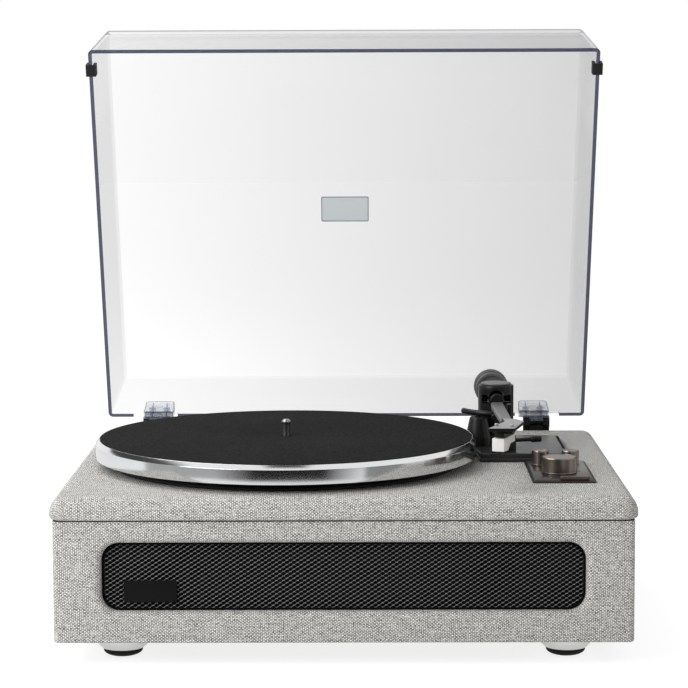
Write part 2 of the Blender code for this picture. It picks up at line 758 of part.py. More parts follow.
def make_speakers():
    """Two round drivers, each with rim, cone, dust cap, basket and magnet in one turned solid."""
    outline = scaled(SPEAKER_SIDE_SHARES, SPEAKER_RADIUS, SPEAKER_DEPTH)
    front = WALL + BAFFLE_THICKNESS + 2 * FIT - BODY_DEPTH / 2
    for name, side in (("left", -1), ("right", 1)):
        add_turned("speaker_" + name, turned(outline, SMALL_STEPS), black_plastic, stand,
                   (side * SPEAKER_SPACING / 2, front, OPENING_MIDDLE), (math.pi / 2, 0, 0))


# Electrics

def make_jack_panel():
    """The rear panel: a thin flange outside the wall and a plug through it, bored for the sockets."""
    rear = BODY_DEPTH / 2
    x = JACK_PANEL_WIDTH / 2
    z = JACK_PANEL_HEIGHT / 2
    flange = along_y(plate([rounded_rectangle(-x, x, -z, z, BODY_CORNER)], -JACK_PANEL_THICKNESS, 0))
    panel = add_part("jack_panel", flange, black_plastic, stand, (0, rear + FIT, JACK_PANEL_MIDDLE))
    plug_x = JACK_PLUG_WIDTH / 2
    plug_z = JACK_PLUG_HEIGHT / 2
    join(panel, box((-plug_x, -WALL, -plug_z), (plug_x, JACK_PANEL_THICKNESS / 2, plug_z)))
    through = (-WALL - OVERRUN, JACK_PANEL_THICKNESS + OVERRUN)
    for side in (-1, 1):
        hole = along_y(round_bar(PHONO_RADIUS + FIT, -through[1], -through[0]))
        cut(panel, moved(hole, PHONO_X + side * PHONO_SPACING / 2))
    cut(panel, moved(along_y(round_bar(INLET_RADIUS + FIT, -through[1], -through[0])), INLET_X))
    half_width = ROCKER_WIDTH / 2 + FIT
    half_height = ROCKER_HEIGHT / 2 + 2 * FIT
    cut(panel, box((ROCKER_X - half_width, through[0], -half_height),
                   (ROCKER_X + half_width, through[1], half_height)))


def make_sockets():
    """The twin phono socket on one carrier, and the hollow power inlet."""
    rear = BODY_DEPTH / 2 + FIT
    inner = -WALL - FIT
    carrier = box((-PHONO_SPACING, inner - PHONO_BACK, -PHONO_RADIUS * 2), (PHONO_SPACING, inner, PHONO_RADIUS * 2))
    jacks = add_part("phono_jacks", carrier, polished, stand, (PHONO_X, rear, JACK_PANEL_MIDDLE))
    for side in (-1, 1):
        barrel = along_y(round_bar(PHONO_RADIUS, -PHONO_REACH, OVERRUN - inner))
        join(jacks, moved(barrel, side * PHONO_SPACING / 2))
        bore = along_y(round_bar(PHONO_BORE, -PHONO_REACH - OVERRUN, -inner / 2, PIN_STEPS))
        cut(jacks, moved(bore, side * PHONO_SPACING / 2))
    depth = WALL + INLET_DEPTH
    outline = [(INLET_BORE, JACK_PANEL_THICKNESS), (INLET_RADIUS, JACK_PANEL_THICKNESS), (INLET_RADIUS, -depth),
               (0, -depth), (0, -INLET_DEPTH), (INLET_BORE, -INLET_DEPTH)]
    add_turned("power_inlet", turned(outline, SMALL_STEPS, True), black_plastic, stand,
               (INLET_X, rear, JACK_PANEL_MIDDLE), (-math.pi / 2, 0, 0))


def make_rocker():
    """The power rocker: a shallow hollow vee whose upper half is in and lower half stands out."""
    face = BODY_DEPTH / 2 + FIT + JACK_PANEL_THICKNESS
    axis = empty("rocker_axis", stand, (ROCKER_X, face, JACK_PANEL_MIDDLE))
    z = ROCKER_HEIGHT / 2 - FIT
    proud = z * math.tan(ROCKER_THROW)
    back = ROCKER_DEPTH
    outline = [(-back, -z / 2), (-back / 4, -z), (proud, -z), (0, 0), (0, z), (-back / 4, z), (-back, z / 2)]
    x = ROCKER_WIDTH / 2
    add_part("power_rocker", along_x(plate([outline], -x, x)), black_plastic, axis)


# Turntable

def motor_place():
    """The motor shaft's place, under the platter and behind its middle."""
    return (SPINDLE_X + MOTOR_REACH * math.cos(MOTOR_BEARING), SPINDLE_Y + MOTOR_REACH * math.sin(MOTOR_BEARING))


def make_tray():
    """The thin black tray that covers the board under the platter, with a raised lip round it."""
    top = FIT + TRAY_THICKNESS
    lip = top + TRAY_LIP_HEIGHT
    inner = TRAY_RADIUS - TRAY_LIP_WIDTH
    hole = BUSH_RADIUS + FIT
    outline = [(hole, top), (inner, top), (inner + TRAY_LIP_HEIGHT / 2, lip), (TRAY_RADIUS - TRAY_LIP_HEIGHT / 2, lip),
               (TRAY_RADIUS, top), (TRAY_RADIUS, FIT), (hole, FIT)]
    tray = add_turned("platter_tray", turned(outline, MIDDLE_STEPS, True), black_plastic, deck,
                      (SPINDLE_X, SPINDLE_Y, 0))
    reach = MOTOR_REACH
    hole = round_bar(PULLEY_RADIUS + PULLEY_FLANGE + FIT, -OVERRUN, lip)
    cut(tray, moved(hole, reach * math.cos(MOTOR_BEARING), reach * math.sin(MOTOR_BEARING)))


def make_motor():
    """The can motor hung in the board, its pulley, and the flat belt to the sub-platter."""
    x, y = motor_place()
    flange = MOTOR_FLANGE_THICKNESS
    can = [(MOTOR_BORE, 0), (MOTOR_FLANGE_RADIUS, 0), (MOTOR_FLANGE_RADIUS, -flange), (MOTOR_RADIUS, -flange),
           (MOTOR_RADIUS, -MOTOR_HEIGHT), (0, -MOTOR_HEIGHT), (0, -MOTOR_BORE_DEPTH), (MOTOR_BORE, -MOTOR_BORE_DEPTH)]
    add_turned("motor", turned(can, SMALL_STEPS, True), silver, deck, (x, y, 0))
    flange_radius = PULLEY_RADIUS + PULLEY_FLANGE
    edge = (BELT_LOW - PULLEY_LOW) / 2
    pulley = [(0, PULLEY_HIGH), (flange_radius, PULLEY_HIGH), (flange_radius, PULLEY_HIGH - edge),
              (PULLEY_RADIUS, BELT_HIGH + FIT), (PULLEY_RADIUS, BELT_LOW - FIT), (flange_radius, PULLEY_LOW + edge),
              (flange_radius, PULLEY_LOW), (MOTOR_SHAFT_RADIUS, PULLEY_LOW),
              (MOTOR_SHAFT_RADIUS, FIT - MOTOR_BORE_DEPTH), (0, FIT - MOTOR_BORE_DEPTH)]
    axis = empty("motor_axis", deck, (x, y, 0))
    add_turned("motor_pulley", turned(pulley, SMALL_STEPS), brass, axis)
    outer = belt_outline(FIT + BELT_THICKNESS)
    inner = belt_outline(FIT)
    belt = plate([outer, inner], BELT_LOW, BELT_HIGH)
    add_part("drive_belt", belt, rubber, deck, (SPINDLE_X, SPINDLE_Y, 0), (0, 0, MOTOR_BEARING))


def belt_outline(growth):
    """The belt's loop round the sub-platter at the origin and the pulley out along X."""
    lean = math.acos((SUB_RADIUS - PULLEY_RADIUS) / MOTOR_REACH)
    big = (SUB_RADIUS + growth) / math.cos(math.pi / FINE_STEPS)
    small = (PULLEY_RADIUS + growth) / math.cos(math.pi / SMALL_STEPS)
    return (arc(0, 0, big, lean, 2 * math.pi - lean, MIDDLE_STEPS)
            + arc(MOTOR_REACH, 0, small, -lean, lean, CORNER_STEPS * 2))


def make_bearing():
    """The spindle's bearing bush, closed at its foot."""
    top = FIT + TRAY_THICKNESS + FIT
    bore = SHAFT_RADIUS + FIT
    outline = [(bore, top + BUSH_FLANGE_THICKNESS), (BUSH_FLANGE_RADIUS, top + BUSH_FLANGE_THICKNESS),
               (BUSH_FLANGE_RADIUS, top), (BUSH_RADIUS, top), (BUSH_RADIUS, -BUSH_DEPTH), (0, -BUSH_DEPTH),
               (0, BUSH_FLOOR - BUSH_DEPTH), (bore, BUSH_FLOOR - BUSH_DEPTH)]
    add_turned("spindle_bearing", turned(outline, SMALL_STEPS, True), brass, deck, (SPINDLE_X, SPINDLE_Y, 0))


def make_platter():
    """Spindle, sub-platter, platter and slip mat, which all turn together."""
    axis = empty("platter_axis", deck, (SPINDLE_X, SPINDLE_Y, 0))
    collar_low = FIT + TRAY_THICKNESS + BUSH_FLANGE_THICKNESS + 2 * FIT
    collar_high = collar_low + COLLAR_THICKNESS
    head = SPINDLE_TOP - SPINDLE_HEAD
    turns = [i * math.pi / 2 / SPINDLE_DOME_STEPS for i in range(SPINDLE_DOME_STEPS + 1)]
    dome = [(SHAFT_RADIUS * math.sin(t), SPINDLE_TOP - SPINDLE_DOME * (1 - math.cos(t))) for t in turns]
    spindle = dome + [(SHAFT_RADIUS, head + SHAFT_RADIUS - NECK_RADIUS), (NECK_RADIUS, head),
                      (NECK_RADIUS, PLATTER_SEAT + MAT_THICKNESS), (SHAFT_RADIUS, PLATTER_SEAT + FIT),
                      (SHAFT_RADIUS, collar_high), (COLLAR_RADIUS, collar_high), (COLLAR_RADIUS, collar_low),
                      (SHAFT_RADIUS, collar_low), (SHAFT_RADIUS, BUSH_FLOOR + FIT - BUSH_DEPTH),
                      (0, BUSH_FLOOR + FIT - BUSH_DEPTH)]
    add_turned("spindle", turned(spindle, SMALL_STEPS), polished, axis)
    bore = SHAFT_RADIUS + FIT
    web = PLATTER_SEAT - PLATTER_WEB
    high = web - FIT
    sub_low = collar_high + FIT
    inner = SUB_RADIUS - SUB_WALL
    sub = [(bore, high), (inner, high), (SUB_RADIUS, high - SUB_WALL / 2), (SUB_RADIUS, SUB_BAND_LOW),
           (inner, SUB_BAND_LOW), (inner, high - SUB_WALL), (SUB_HUB_RADIUS, high - SUB_WALL),
           (SUB_HUB_RADIUS, sub_low), (bore, sub_low)]
    add_turned("sub_platter", turned(sub, MIDDLE_STEPS, True), black_plastic, axis)
    seat_radius = MAT_RADIUS + FIT
    chamfer = PLATTER_CHAMFER
    wall = PLATTER_RADIUS - PLATTER_RIM_WALL
    outline = [(bore, PLATTER_SEAT), (seat_radius, PLATTER_SEAT), (seat_radius, PLATTER_RIM_TOP),
               (seat_radius + PLATTER_LIP, PLATTER_RIM_TOP), (PLATTER_RADIUS, PLATTER_BAND_TOP),
               (PLATTER_RADIUS, PLATTER_UNDERSIDE + chamfer), (PLATTER_RADIUS - chamfer, PLATTER_UNDERSIDE),
               (wall, PLATTER_UNDERSIDE), (wall, web), (bore, web)]
    add_turned("platter", turned(outline, FINE_STEPS, True), polished, axis)
    low = PLATTER_SEAT + FIT
    top = low + MAT_THICKNESS
    mat = [(bore, top), (MAT_RADIUS - PLATTER_LIP, top), (MAT_RADIUS, top - PLATTER_LIP), (MAT_RADIUS, low), (bore, low)]
    add_turned("slip_mat", turned(mat, FINE_STEPS, True), felt, axis)


# Tonearm

def base_outline(inset):
    """The tonearm base's outline: a rounded plate whose left side follows the platter's edge."""
    left = BASE_LEFT + inset
    right = BASE_RIGHT - inset
    front = BASE_FRONT + inset
    rear = BASE_REAR - inset
    radius = PLATTER_RADIUS + BASE_PLATTER_CLEARANCE + inset / 4
    first = math.asin((front - SPINDLE_Y) / radius)
    last = math.acos((left - SPINDLE_X) / radius)
    small = BASE_SMALL_CORNER
    large = BASE_CORNER - inset / 2
    outline = arc(SPINDLE_X, SPINDLE_Y, radius, first, last, 6)
    outline += arc(left + small, rear - small, small, math.pi, math.pi / 2, 3)
    outline += arc(right - large, rear - large, large, math.pi / 2, 0, 5)
    outline += arc(right - small, front + small, small, 0, -math.pi / 2, 3)
    return outline


def make_tonearm_base():
    """A flange and a raised plate on it, with two ears that hold the cue lever."""
    flange = plate([base_outline(0)], FIT, BASE_FLANGE_HEIGHT)
    base = add_part("tonearm_base", flange, arm_black, deck)
    raised = plate([base_outline(BASE_STEP)], BASE_FLANGE_HEIGHT - OVERRUN / 2, BASE_HEIGHT)
    join(base, rounded(raised, level_at(BASE_HEIGHT), BASE_STEP / 6, 1))
    half = LEVER_BARREL_LENGTH / 2 + FIT
    top = LEVER_HEIGHT + EAR_WIDTH / 2
    low = BASE_HEIGHT - OVERRUN / 2
    for near in (half, -half - EAR_THICKNESS):
        shoulder = EAR_WIDTH / 2
        outline = [(-shoulder, low), (shoulder, low)] + arc(0, LEVER_HEIGHT, shoulder, 0, math.pi, CORNER_STEPS)
        ear = along_y(plate([outline], -near - EAR_THICKNESS, -near))
        join(base, moved(ear, LEVER_X, LEVER_Y))
    hole = along_y(round_bar(LEVER_TRUNNION_RADIUS + FIT, -half - top, half + top, PIN_STEPS))
    cut(base, moved(hole, LEVER_X, LEVER_Y, LEVER_HEIGHT))


def make_column():
    """The fixed column, flared at its foot and bored for the bearing housing's stem."""
    low = BASE_HEIGHT + FIT
    flare = COLUMN_FOOT_RADIUS - COLUMN_RADIUS
    outline = [(COLUMN_BORE, COLUMN_TOP), (COLUMN_RADIUS, COLUMN_TOP)]
    for i in range(FLARE_STEPS + 1):
        t = i * math.pi / 2 / FLARE_STEPS
        outline.append((COLUMN_FOOT_RADIUS - flare * math.cos(t), low + flare * (2 - math.sin(t))))
    outline += [(COLUMN_FOOT_RADIUS, low), (COLUMN_BORE, low)]
    add_turned("arm_column", turned(outline, SMALL_STEPS, True), arm_black, deck, (PIVOT_X, PIVOT_Y, 0))


def make_housing(swing):
    """The bearing housing that turns on the column, its flat cap and the tilt pin across it."""
    low = COLUMN_TOP + FIT
    chamfer = YOKE_CHAMFER
    outline = [(0, YOKE_TOP), (YOKE_RADIUS - chamfer, YOKE_TOP), (YOKE_RADIUS, YOKE_TOP - chamfer),
               (YOKE_RADIUS, low + chamfer / 2), (YOKE_RADIUS - chamfer / 2, low), (YOKE_STEM_RADIUS, low),
               (YOKE_STEM_RADIUS, low - YOKE_STEM_LENGTH), (0, low - YOKE_STEM_LENGTH)]
    housing = add_turned("bearing_housing", turned(outline, SMALL_STEPS + CORNER_STEPS), arm_black, swing)
    reach = YOKE_RADIUS + OVERRUN
    cut(housing, moved(along_y(round_bar(YOKE_BORE, -reach, reach)), z=ARM_HEIGHT))
    half_x = YOKE_SLOT_WIDTH / 2
    half_z = YOKE_SLOT_HEIGHT / 2
    cut(housing, box((-half_x, -reach, ARM_HEIGHT - half_z), (half_x, reach, ARM_HEIGHT + half_z)))
    hole = round_bar(PIN_RADIUS + FIT, -reach, reach, PIN_STEPS)
    hole.transform(Matrix.Rotation(math.pi / 2, 4, "Y"))
    cut(housing, moved(hole, z=ARM_HEIGHT))
    cap_low = YOKE_TOP + FIT
    edge = CAP_THICKNESS / 3
    cap = [(0, cap_low + CAP_THICKNESS), (CAP_RADIUS - edge, cap_low + CAP_THICKNESS),
           (CAP_RADIUS, cap_low + CAP_THICKNESS - edge), (CAP_RADIUS, cap_low), (0, cap_low)]
    add_turned("housing_cap", turned(cap, SMALL_STEPS + CORNER_STEPS), arm_grey, swing)
    half = PIN_LENGTH / 2
    add_part("tilt_pin", round_bar(PIN_RADIUS, -half, half, PIN_STEPS), brass, swing, (0, 0, ARM_HEIGHT),
             (0, math.pi / 2, 0))


def make_arm(tilt):
    """The arm's hub and rear shaft, its tapering wand and the headshell. The arm points to -Y."""
    collars = scaled(HUB_SIDE_SHARES, HUB_RING, HUB_FRONT)
    hub = [(0, HUB_FRONT)] + collars
    hub += [(HUB_RADIUS, HUB_HALF), (HUB_RADIUS, -HUB_HALF), (HUB_NECK, -HUB_HALF - REAR_SHAFT_RADIUS),
            (HUB_NECK, -YOKE_RADIUS - HUB_NECK), (REAR_SHAFT_RADIUS, -YOKE_RADIUS - HUB_NECK),
            (REAR_SHAFT_RADIUS, -REAR_SHAFT_END), (0, -REAR_SHAFT_END)]
    part = add_turned("arm_hub", turned(hub, SMALL_STEPS), arm_black, tilt, (0, 0, 0), (math.pi / 2, 0, 0))
    hole = round_bar(PIN_RADIUS + FIT, -YOKE_RADIUS, YOKE_RADIUS, PIN_STEPS)
    hole.transform(Matrix.Rotation(math.pi / 2, 4, "Y"))
    cut(part, hole)
    start = -HUB_FRONT - FIT
    wand = loft([clipped_section(WAND_START_WIDTH, WAND_START_HEIGHT, start, -WAND_START_DROP),
                 clipped_section(WAND_END_WIDTH, WAND_END_HEIGHT, -WAND_END, WAND_END_RISE)])
    add_part("arm_wand", wand, arm_grey, tilt)
    outline = [(x, -y) for x, y in scaled(SHELL_OUTLINE_SHARES, SHELL_WIDTH, SHELL_LENGTH)]
    shell = plate([outline], SHELL_TOP - SHELL_THICKNESS, SHELL_TOP)
    rounded(shell, level_at(SHELL_TOP), SHELL_THICKNESS / 5, 1)
    add_part("headshell", shell, arm_grey, tilt, (0, -WAND_END - FIT, 0))


def make_cartridge(tilt):
    """The cartridge, a stepped side profile with mounting ears, and the stylus under its nose."""
    top = SHELL_TOP - SHELL_THICKNESS - FIT
    low = top - CARTRIDGE_HEIGHT
    head = empty("cartridge_frame", tilt, (CARTRIDGE_SHIFT, -CARTRIDGE_REACH, low), (0, 0, -CARTRIDGE_YAW))
    half = CARTRIDGE_WIDTH / 2
    side = scaled(CARTRIDGE_SIDE_SHARES, CARTRIDGE_LENGTH, CARTRIDGE_HEIGHT - CARTRIDGE_EAR_HEIGHT / 2)
    body = along_x(plate([side], -half, half))
    cartridge = add_part("cartridge", body, pale_shell, head)
    ear = CARTRIDGE_EAR_WIDTH / 2
    back = CARTRIDGE_LENGTH - CARTRIDGE_BEVEL
    ears = box((-ear, back - CARTRIDGE_EAR_LENGTH, CARTRIDGE_HEIGHT - CARTRIDGE_EAR_HEIGHT),
               (ear, back, CARTRIDGE_HEIGHT))
    join(cartridge, ears)
    tip = (0, STYLUS_SETBACK - STYLUS_RAKE, -STYLUS_DROP)
    root = (0, STYLUS_SETBACK, -STYLUS_RADIUS - FIT)
    share = STYLUS_TIP_RADIUS / STYLUS_RADIUS
    add_part("stylus", rod([root, tip], [1, share], STYLUS_RADIUS, 1), black_plastic, head)


def make_counterweight(tilt):
    """The weight and its ring dial on a bush that slides along the rear shaft."""
    slide = empty("weight_slide", tilt)
    back = (-math.pi / 2, 0, 0)
    length = DIAL_LENGTH + FIT + WEIGHT_LENGTH
    bore = REAR_SHAFT_RADIUS + BUSH_BORE_CLEARANCE
    bush = [(bore, length), (WEIGHT_BUSH_RADIUS, length), (WEIGHT_BUSH_RADIUS, 0), (bore, 0)]
    add_turned("weight_bush", turned(bush, SMALL_STEPS, True), black_plastic, slide, (0, DIAL_FRONT, 0), back)
    dial = [(WEIGHT_BORE, DIAL_LENGTH), (DIAL_RADIUS, DIAL_LENGTH), (DIAL_RADIUS, WEIGHT_CHAMFER),
            (DIAL_RADIUS - WEIGHT_CHAMFER, 0), (WEIGHT_BORE, 0)]
    add_turned("force_dial", turned(dial, SMALL_STEPS + CORNER_STEPS, True), arm_grey, slide,
               (0, DIAL_FRONT, 0), back)
    chamfer = WEIGHT_CHAMFER
    weight = [(WEIGHT_BORE, WEIGHT_LENGTH), (WEIGHT_RADIUS - chamfer, WEIGHT_LENGTH),
              (WEIGHT_RADIUS, WEIGHT_LENGTH - chamfer), (WEIGHT_RADIUS, chamfer), (WEIGHT_RADIUS - chamfer, 0),
              (WEIGHT_BORE, 0)]
    add_turned("counterweight", turned(weight, SMALL_STEPS + CORNER_STEPS, True), arm_black, slide,
               (0, DIAL_FRONT + DIAL_LENGTH + FIT, 0), back)


def wand_underside(reach):
    """The height of the wand's underside over the deck, at a reach in front of the pivot."""
    share = (reach - HUB_FRONT) / (WAND_END - HUB_FRONT)
    start = -WAND_START_DROP - WAND_START_HEIGHT / 2
    end = WAND_END_RISE - WAND_END_HEIGHT / 2
    return ARM_HEIGHT + start + share * (end - start)


def make_arm_rest():
    """The arm rest: a post with a shelf under the arm and one prong to stop it on the right."""
    near = REST_REACH - REST_DEPTH / 2
    shelf = wand_underside(near) - FIT
    low = BASE_HEIGHT + FIT
    prong = WAND_START_WIDTH / 2 + FIT
    left = prong + REST_PRONG_WIDTH - REST_WIDTH
    post = REST_POST_WIDTH / 2
    foot = REST_FOOT_WIDTH / 2
    right = prong + REST_PRONG_WIDTH
    under = shelf - REST_SHELF_THICKNESS
    toe = low + REST_SHELF_THICKNESS / 2
    outline = [(-foot, low), (foot, low), (foot, toe), (post, toe + post / 2), (post, under - post / 2),
               (right, under), (right, shelf + REST_PRONG_HEIGHT), (prong, shelf + REST_PRONG_HEIGHT),
               (prong, shelf), (left, shelf), (left, under + REST_LIP), (-post, under - post / 2),
               (-post, toe + post / 2), (-foot, toe)]
    half = REST_DEPTH / 2
    shape = along_y(plate([outline], -half, half))
    add_part("arm_rest", shape, arm_black, deck, (PIVOT_X, PIVOT_Y - REST_REACH, 0))


def make_lift():
    """The cone-shaped lift housing and the lift bar, an arc about the arm's pivot on a piston."""
    x = -LIFT_REACH * math.sin(LIFT_BEARING)
    y = -LIFT_REACH * math.cos(LIFT_BEARING)
    low = BASE_HEIGHT + FIT
    height = LIFT_TOP - low
    side = [(radius, low + rise) for radius, rise in scaled(LIFT_SIDE_SHARES, LIFT_FOOT_RADIUS, height)]
    outline = [(LIFT_BORE, LIFT_TOP)] + side[::-1] + [(0, low)]
    floor = LIFT_TOP - LIFT_BORE_DEPTH
    outline += [(0, floor), (LIFT_BORE, floor)]
    add_turned("lift_housing", turned(outline, SMALL_STEPS, True), arm_black, deck, (PIVOT_X + x, PIVOT_Y + y, 0))
    height = wand_underside(LIFT_REACH) - FIT - LIFT_BAR_RADIUS
    axis = empty("lift_axis", deck, (PIVOT_X, PIVOT_Y, height))
    bearings = [LIFT_BAR_FIRST + (LIFT_BAR_LAST - LIFT_BAR_FIRST) * i / (LIFT_BAR_POINTS - 1)
                for i in range(LIFT_BAR_POINTS)]
    points = [(-LIFT_REACH * math.sin(t), -LIFT_REACH * math.cos(t), 0) for t in bearings]
    bar = add_part("lift_bar", rod(points, [1] * LIFT_BAR_POINTS, LIFT_BAR_RADIUS), arm_black, axis)
    join(bar, moved(round_bar(PISTON_RADIUS, -PISTON_LENGTH, 0, PIN_STEPS), x, y))


def make_cue_lever():
    """The cue lever: a rod with a thicker grip on a barrel whose trunnions sit in the base's ears."""
    axis = empty("lever_axis", deck, (LEVER_X, LEVER_Y, LEVER_HEIGHT))
    half = LEVER_BARREL_LENGTH / 2
    end = half + LEVER_TRUNNION_LENGTH
    outline = [(0, end), (LEVER_TRUNNION_RADIUS, end), (LEVER_TRUNNION_RADIUS, half), (LEVER_BARREL_RADIUS, half),
               (LEVER_BARREL_RADIUS, -half), (LEVER_TRUNNION_RADIUS, -half), (LEVER_TRUNNION_RADIUS, -end), (0, -end)]
    lever = add_turned("cue_lever", turned(outline, SMALL_STEPS), arm_black, axis, (0, 0, 0), (math.pi / 2, 0, 0))
    run = [LEVER_BARREL_RADIUS / 2, LEVER_ROD_LENGTH, LEVER_ROD_LENGTH, LEVER_LENGTH]
    run[2] += LEVER_ROD_RADIUS / 2
    thin = LEVER_ROD_RADIUS / LEVER_GRIP_RADIUS
    points = [(reach, reach * math.tan(LEVER_RISE), 0) for reach in run]
    join(lever, rod(points, [thin, thin, 1, 1], LEVER_GRIP_RADIUS))


# Controls

def make_control_plate():
    """The bevelled plate under the knobs, bored for their shafts and slotted for the slide."""
    outer = rounded_rectangle(PLATE_LEFT, PLATE_RIGHT, PLATE_FRONT, PLATE_REAR, PLATE_CORNER)
    shape = plate([outer], FIT, FIT + PLATE_THICKNESS)
    rounded(shape, level_at(FIT + PLATE_THICKNESS), PLATE_BEVEL, 1)
    control = add_part("control_plate", shape, bronze, deck)
    top = FIT + PLATE_THICKNESS + OVERRUN
    for x, y in KNOB_PLACES:
        cut(control, moved(round_bar(KNOB_SHAFT_RADIUS + FIT, -OVERRUN, top), x, y))
    half_x = SLIDE_STEM_WIDTH / 2 + FIT
    half_y = SLIDE_STEM_DEPTH / 2 + FIT
    cut(control, box((SLIDE_X - half_x - SLIDE_TRAVEL, SLIDE_Y - half_y, -OVERRUN),
                     (SLIDE_X + half_x, SLIDE_Y + half_y, top)))


def make_amplifier():
    """The circuit board hung in the pocket: a potentiometer for each knob above it, a finned heatsink below."""
    margin = CONTROL_POCKET_MARGIN + FIT
    pot_low = -FIT - POT_HEIGHT
    low = pot_low - AMP_THICKNESS
    board = add_part("amplifier_board", box((PLATE_LEFT + margin, PLATE_FRONT + margin, low),
                                            (PLATE_RIGHT - margin, PLATE_REAR - margin, pot_low)), circuit, deck)
    half = POT_WIDTH / 2
    slip = AMP_THICKNESS / 2
    for x, y in KNOB_PLACES:
        join(board, box((x - half, y - half, pot_low - slip), (x + half, y + half, -FIT)))
    for x, y in KNOB_PLACES:
        cut(board, moved(round_bar(KNOB_SHAFT_RADIUS + FIT, low - OVERRUN, OVERRUN), x, y))
    join(board, moved(plate([fin_outline()], low - HEATSINK_HEIGHT, low + slip), VOLUME_X, HEATSINK_Y))


def fin_outline():
    """A comb seen from above: a bar with a row of fins behind it."""
    half = HEATSINK_WIDTH / 2
    tooth = HEATSINK_WIDTH / (2 * HEATSINK_FINS - 1)
    bar = HEATSINK_DEPTH / 3
    outline = [(-half, 0), (half, 0)]
    for i in range(HEATSINK_FINS):
        right = half - 2 * i * tooth
        outline += [(right, HEATSINK_DEPTH), (right - tooth, HEATSINK_DEPTH)]
        if i < HEATSINK_FINS - 1:
            outline += [(right - tooth, bar), (right - 2 * tooth, bar)]
    return outline


def knob(radius, height):
    """A knob's outline: a dished top, a chamfer, a straight side and a slim skirt, on its shaft."""
    low = 2 * FIT + PLATE_THICKNESS
    top = low + height
    dish = radius - 2 * KNOB_CHAMFER
    return [(0, top - KNOB_DISH), (dish, top - KNOB_DISH), (dish + KNOB_DISH, top), (radius - KNOB_CHAMFER, top),
            (radius, top - KNOB_CHAMFER), (radius, low + KNOB_SKIRT * 2), (radius + KNOB_SKIRT, low + KNOB_SKIRT),
            (radius + KNOB_SKIRT, low), (KNOB_SHAFT_RADIUS, low), (KNOB_SHAFT_RADIUS, low - KNOB_SHAFT_LENGTH),
            (0, low - KNOB_SHAFT_LENGTH)]


def make_knobs():
    """The three knobs and the bar-shaped slide, each on its own axis."""
    for name, x, y, radius, height, steps in (
            ("volume_knob", VOLUME_X, VOLUME_Y, VOLUME_RADIUS, VOLUME_HEIGHT, MIDDLE_STEPS),
            ("mode_knob", MODE_X, SMALL_KNOB_Y, SMALL_KNOB_RADIUS, SMALL_KNOB_HEIGHT, SMALL_STEPS + CORNER_STEPS),
            ("tone_knob", TONE_X, SMALL_KNOB_Y, SMALL_KNOB_RADIUS, SMALL_KNOB_HEIGHT, SMALL_STEPS + CORNER_STEPS)):
        axis = empty(name + "_axis", deck, (x, y, 0))
        add_turned(name, turned(knob(radius, height), steps), bronze, axis)
    low = 2 * FIT + PLATE_THICKNESS
    axis = empty("slide_axis", deck, (SLIDE_X, SLIDE_Y, low))
    half_x = SLIDE_WIDTH / 2
    half_y = SLIDE_DEPTH / 2
    cap = box((-half_x, -half_y, 0), (half_x, half_y, SLIDE_HEIGHT))
    rounded(cap, level_at(SLIDE_HEIGHT), SLIDE_HEIGHT / 3, 2)
    slide = add_part("slide_switch", cap, bronze, axis)
    stem_x = SLIDE_STEM_WIDTH / 2
    stem_y = SLIDE_STEM_DEPTH / 2
    join(slide, box((-stem_x, -stem_y, -SLIDE_STEM_LENGTH), (stem_x, stem_y, SLIDE_HEIGHT / 2)))


# Dust cover and hinges

def make_dust_cover(lid):
    """The clear cover: a drafted, rounded box open below, thickened inwards. Drawn closed."""
    half = LID_WIDTH / 2
    low = LID_GAP
    rear = LID_REAR
    front = LID_REAR - LID_DEPTH
    skirt = low - LID_WALL / 4
    shape = box((-half, front, skirt), (half, rear, low + LID_HEIGHT))
    bm = bmesh.new()
    bm.from_mesh(shape)
    for vert in bm.verts:
        if vert.co.z > low + LID_HEIGHT / 2:
            vert.co.x -= math.copysign(LID_SIDE_DRAFT, vert.co.x)
            vert.co.y += LID_FRONT_DRAFT if vert.co.y < 0 else -LID_REAR_DRAFT
    under = [face for face in bm.faces if face.normal.z < -0.9]
    bmesh.ops.delete(bm, geom=under, context="FACES_ONLY")
    bm.to_mesh(shape)
    bm.free()
    rounded(shape, lambda a, b: a.z + b.z > 2 * low + FIT, LID_ROUND, 3)
    shape.transform(Matrix.Translation((0, -HINGE_Y, -HINGE_Z)))
    cover = add_part("dust_cover", shape, clear, lid)
    wall = cover.modifiers.new("wall", "SOLIDIFY")
    wall.thickness = LID_WALL
    wall.offset = -1
    wall.use_even_offset = True
    cut(cover, box((-LID_WIDTH, front - OVERRUN - HINGE_Y, -LID_WALL - HINGE_Z),
                   (LID_WIDTH, rear + OVERRUN - HINGE_Y, low - HINGE_Z)))
    for side in (-1, 1):
        x = side * HINGE_SPACING / 2
        half = NOTCH_WIDTH / 2
        cut(cover, box((x - half, rear - 2 * LID_WALL - HINGE_Y, low - OVERRUN - HINGE_Z),
                       (x + half, rear + OVERRUN - HINGE_Y, low + NOTCH_DEPTH - HINGE_Z)))


